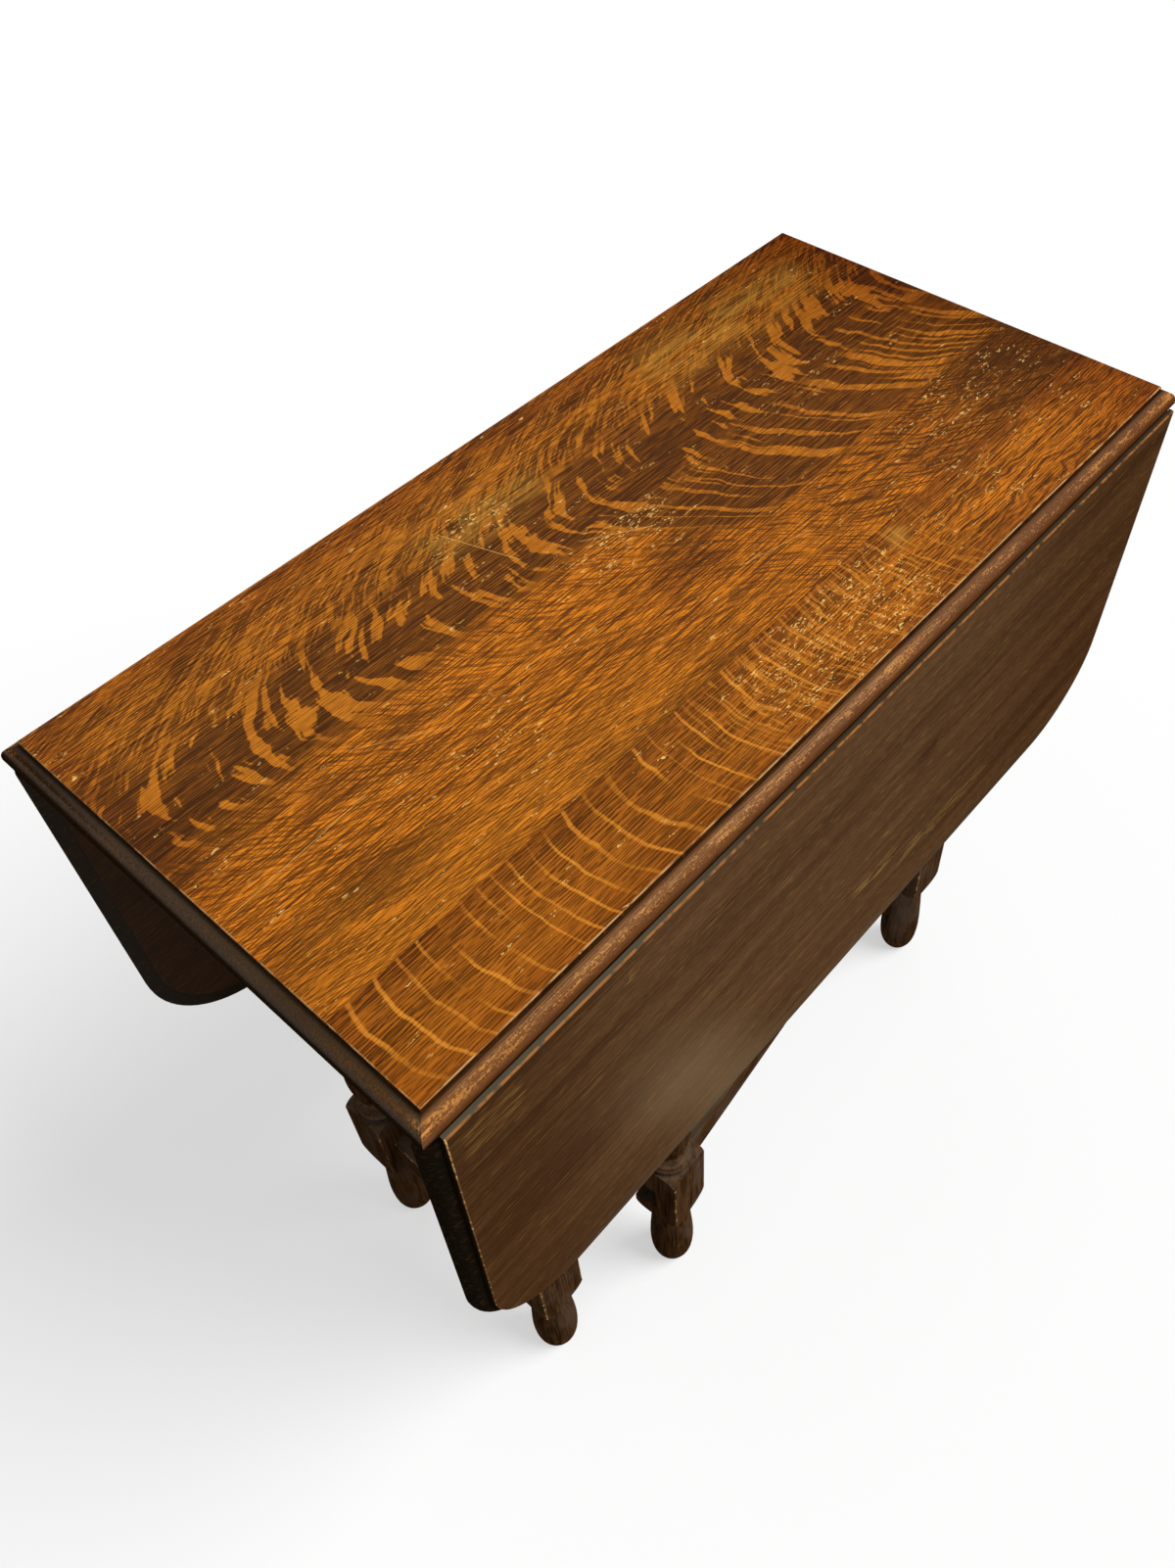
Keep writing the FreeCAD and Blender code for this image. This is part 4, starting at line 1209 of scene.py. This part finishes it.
def softened(node, radius, chosen):
    """Copy of a CAD piece with its chosen sharp arrises rounded."""
    form = bmesh.new()
    form.from_mesh(frame["nodes"][node].data)
    bmesh.ops.remove_doubles(form, verts=form.verts, dist=merge_reach)
    bmesh.ops.dissolve_limit(form, angle_limit=flat_turn, verts=form.verts, edges=form.edges)
    worn = [
        edge for edge in form.edges
        if edge.is_manifold and edge.is_convex and edge.calc_face_angle() > arris_turn and chosen(edge)
    ]
    bmesh.ops.bevel(
        form, geom=worn, offset=radius, offset_type="OFFSET", segments=round_segments, profile=0.5,
        affect="EDGES", material=-1, clamp_overlap=False,
    )
    for edge in form.edges:
        edge.smooth = not edge.is_manifold or edge.calc_face_angle() < arris_turn
    for face in form.faces:
        face.smooth = True
    mesh = bpy.data.meshes.new(node + "_worn")
    form.to_mesh(mesh)
    form.free()
    piece = bpy.data.objects.new(node + "_worn", mesh)
    bpy.context.scene.collection.objects.link(piece)
    weighted = piece.modifiers.new("flat_faces", "WEIGHTED_NORMAL")
    weighted.keep_sharp = True
    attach(piece, body_of_node[node])
    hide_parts(node)
    print(node, "arrises:", len(worn), "faces:", len(mesh.polygons))
    return piece


print("flat within:", flat_turn, "arris beyond:", arris_turn)


# %% [markdown]
# Only some arrises are worn: the ones round the flat fields of the top and the leaves, the upright
# ones of the leg blocks and the long ones of the rails. Each kind has a short test that says yes or
# no to an edge. The glue line between the two boards stays sharp.

# %% Top, leaves and legs
board_round = 0.8 * mm
leg_round = 1.0 * mm
bar_round = 0.8 * mm
least_upright, least_long, most_lean = in_mm(20, 25, 0.1)


def in_field(edge):
    level = all(abs(vertex.co.z - top_height) < merge_reach for vertex in edge.verts)
    at_glue = all(abs(vertex.co.y - glue_line) < merge_reach for vertex in edge.verts)
    return level and not at_glue


def in_front_leaf_field(edge):
    """True for the arris round the leaf's flat field, and for its inner corner at the hinge."""
    raised = [raise_leaf @ vertex.co for vertex in edge.verts]
    return all(abs(point.z - top_height) < merge_reach for point in raised)


def in_rear_leaf_field(edge):
    """The same for the rear leaf, which is the front one turned half round."""
    half_round = Matrix.Rotation(math.pi, 4, "Z")
    raised = [raise_leaf @ (half_round @ vertex.co) for vertex in edge.verts]
    return all(abs(point.z - top_height) < merge_reach for point in raised)


def is_upright(edge):
    first, second = (vertex.co for vertex in edge.verts)
    return edge.calc_length() > least_upright and (first - second).xy.length < most_lean


def is_long(edge):
    return edge.calc_length() > least_long


pieces = {}
for node in ("top_board_wide", "top_board_narrow"):
    pieces[node] = softened(node, board_round, in_field)
pieces["leaf_front"] = softened("leaf_front", board_round, in_front_leaf_field)
pieces["leaf_rear"] = softened("leaf_rear", board_round, in_rear_leaf_field)
for node in sorted(frame["nodes"]):
    if node.startswith(("leg_", "gate_leg")):
        pieces[node] = softened(node, leg_round, is_upright)
    elif node in bar_oaks:
        pieces[node] = softened(node, bar_round, is_long)
print("rounded pieces:", len(pieces))


# %% [markdown]
# Each piece now gets its finish. A CAD piece that wasn't copied keeps its own object, and only its
# material slot is filled.

# %% Dressing the pieces
finishes = {
    "top_board_wide": wide_board_oak,
    "top_board_narrow": narrow_board_oak,
    "leaf_front": front_leaf_oak,
    "leaf_rear": rear_leaf_oak,
    "gate_leg_front": front_gate_leg_oak,
    "gate_leg_rear": rear_gate_leg_oak,
    "top_buttons": plain_oak,
    **bar_oaks,
}


def finish_of(node):
    """Finish of a piece, by its own name or by the kind of piece that its name tells."""
    if node in finishes:
        return finishes[node]
    if node.startswith("leg_"):
        return leg_oak
    if node.startswith("gate_pin"):
        return pin_wood
    if node.startswith("leaf_stop"):
        return plain_oak
    if "screws" in node:
        return screw_steel
    return hinge_iron


used = set()
for node in sorted(frame["nodes"]):
    piece = pieces.get(node, frame["nodes"][node])
    piece.data.materials.clear()
    piece.data.materials.append(finish_of(node))
    used.add(finish_of(node).name)
print("finishes:", len(used), "on", len(frame["nodes"]), "pieces")


# %% [markdown]
# The floor looks white to the camera and in reflections, but throws less light than that on the
# table, whose underside stays dark as under a real one. Light Path tells the two kinds of ray apart.
# Half of the white is a glow, so the shadow that the table casts on it stays pale.

# %% Floor
white = (1.0, 1.0, 1.0, 1.0)
floor_reach = 12.0
floor_seen = (0.48, 0.48, 0.48, 1.0)
floor_glow = 0.52
floor_bounce = (0.28, 0.27, 0.26, 1.0)
floor_roughness = 0.9
floor_gloss = 0.1


def ray_to_camera(nodes, links):
    """One for rays that the camera, a reflection or glass sees, and nought for light."""
    path = nodes.new("ShaderNodeLightPath")
    seen = path.outputs["Is Camera Ray"]
    for name in ("Is Glossy Ray", "Is Transmission Ray"):
        higher = nodes.new("ShaderNodeMath")
        higher.operation = "MAXIMUM"
        links.new(seen, higher.inputs[0])
        links.new(path.outputs[name], higher.inputs[1])
        seen = higher.outputs[0]
    return seen


def floor_paint():
    """Pale paint that looks white, yet throws little light back up."""
    paint = bpy.data.materials.new("floor")
    paint.use_nodes = True
    nodes, links = paint.node_tree.nodes, paint.node_tree.links
    seen = ray_to_camera(nodes, links)
    mix = nodes.new("ShaderNodeMix")
    mix.data_type = "RGBA"
    mix.inputs[6].default_value = floor_bounce
    mix.inputs[7].default_value = floor_seen
    glow = nodes.new("ShaderNodeMapRange")
    glow.inputs["To Max"].default_value = floor_glow
    shader = nodes["Principled BSDF"]
    shader.inputs["Emission Color"].default_value = white
    shader.inputs["Roughness"].default_value = floor_roughness
    shader.inputs["Specular IOR Level"].default_value = floor_gloss
    links.new(seen, mix.inputs[0])
    links.new(seen, glow.inputs["Value"])
    links.new(mix.outputs[2], shader.inputs["Base Color"])
    links.new(glow.outputs["Result"], shader.inputs["Emission Strength"])
    return paint


def add_floor():
    form = bmesh.new()
    bmesh.ops.create_grid(form, x_segments=1, y_segments=1, size=floor_reach)
    mesh = bpy.data.meshes.new("floor")
    form.to_mesh(mesh)
    form.free()
    mesh.materials.append(floor_paint())
    floor = bpy.data.objects.new("floor", mesh)
    bpy.context.scene.collection.objects.link(floor)


add_floor()
print("floor:", 2 * floor_reach, "across")


# %% [markdown]
# Old furniture is photographed best in broad, soft daylight. One wide daylight comes from above
# the front leaf, so that the turned edge and the leg squares catch it, and a pale world fills the
# shadows. The world looks white to the camera too, and is dimmer for all that it lights.

# %% Lamps and world
daylight_side = Vector((0.42, -0.52, 0.75))
daylight_spread = math.radians(38)
daylight_power = 2.75
world_strength = 0.35


def add_daylight():
    """Broad daylight from one side, like that of a large window."""
    data = bpy.data.lights.new("daylight", "SUN")
    data.energy = daylight_power
    data.angle = daylight_spread
    lamp = bpy.data.objects.new("daylight", data)
    lamp.matrix_world = daylight_side.to_track_quat("Z", "Y").to_matrix().to_4x4()
    bpy.context.scene.collection.objects.link(lamp)


def set_world():
    world = bpy.data.worlds.new("daylight")
    bpy.context.scene.world = world
    world.use_nodes = True
    nodes, links = world.node_tree.nodes, world.node_tree.links
    background = nodes["Background"]
    background.inputs["Color"].default_value = white
    strength = nodes.new("ShaderNodeMapRange")
    strength.inputs["To Min"].default_value = world_strength
    links.new(ray_to_camera(nodes, links), strength.inputs["Value"])
    links.new(strength.outputs["Result"], background.inputs["Strength"])


add_daylight()
set_world()
bpy.context.scene.view_settings.view_transform = "Standard"
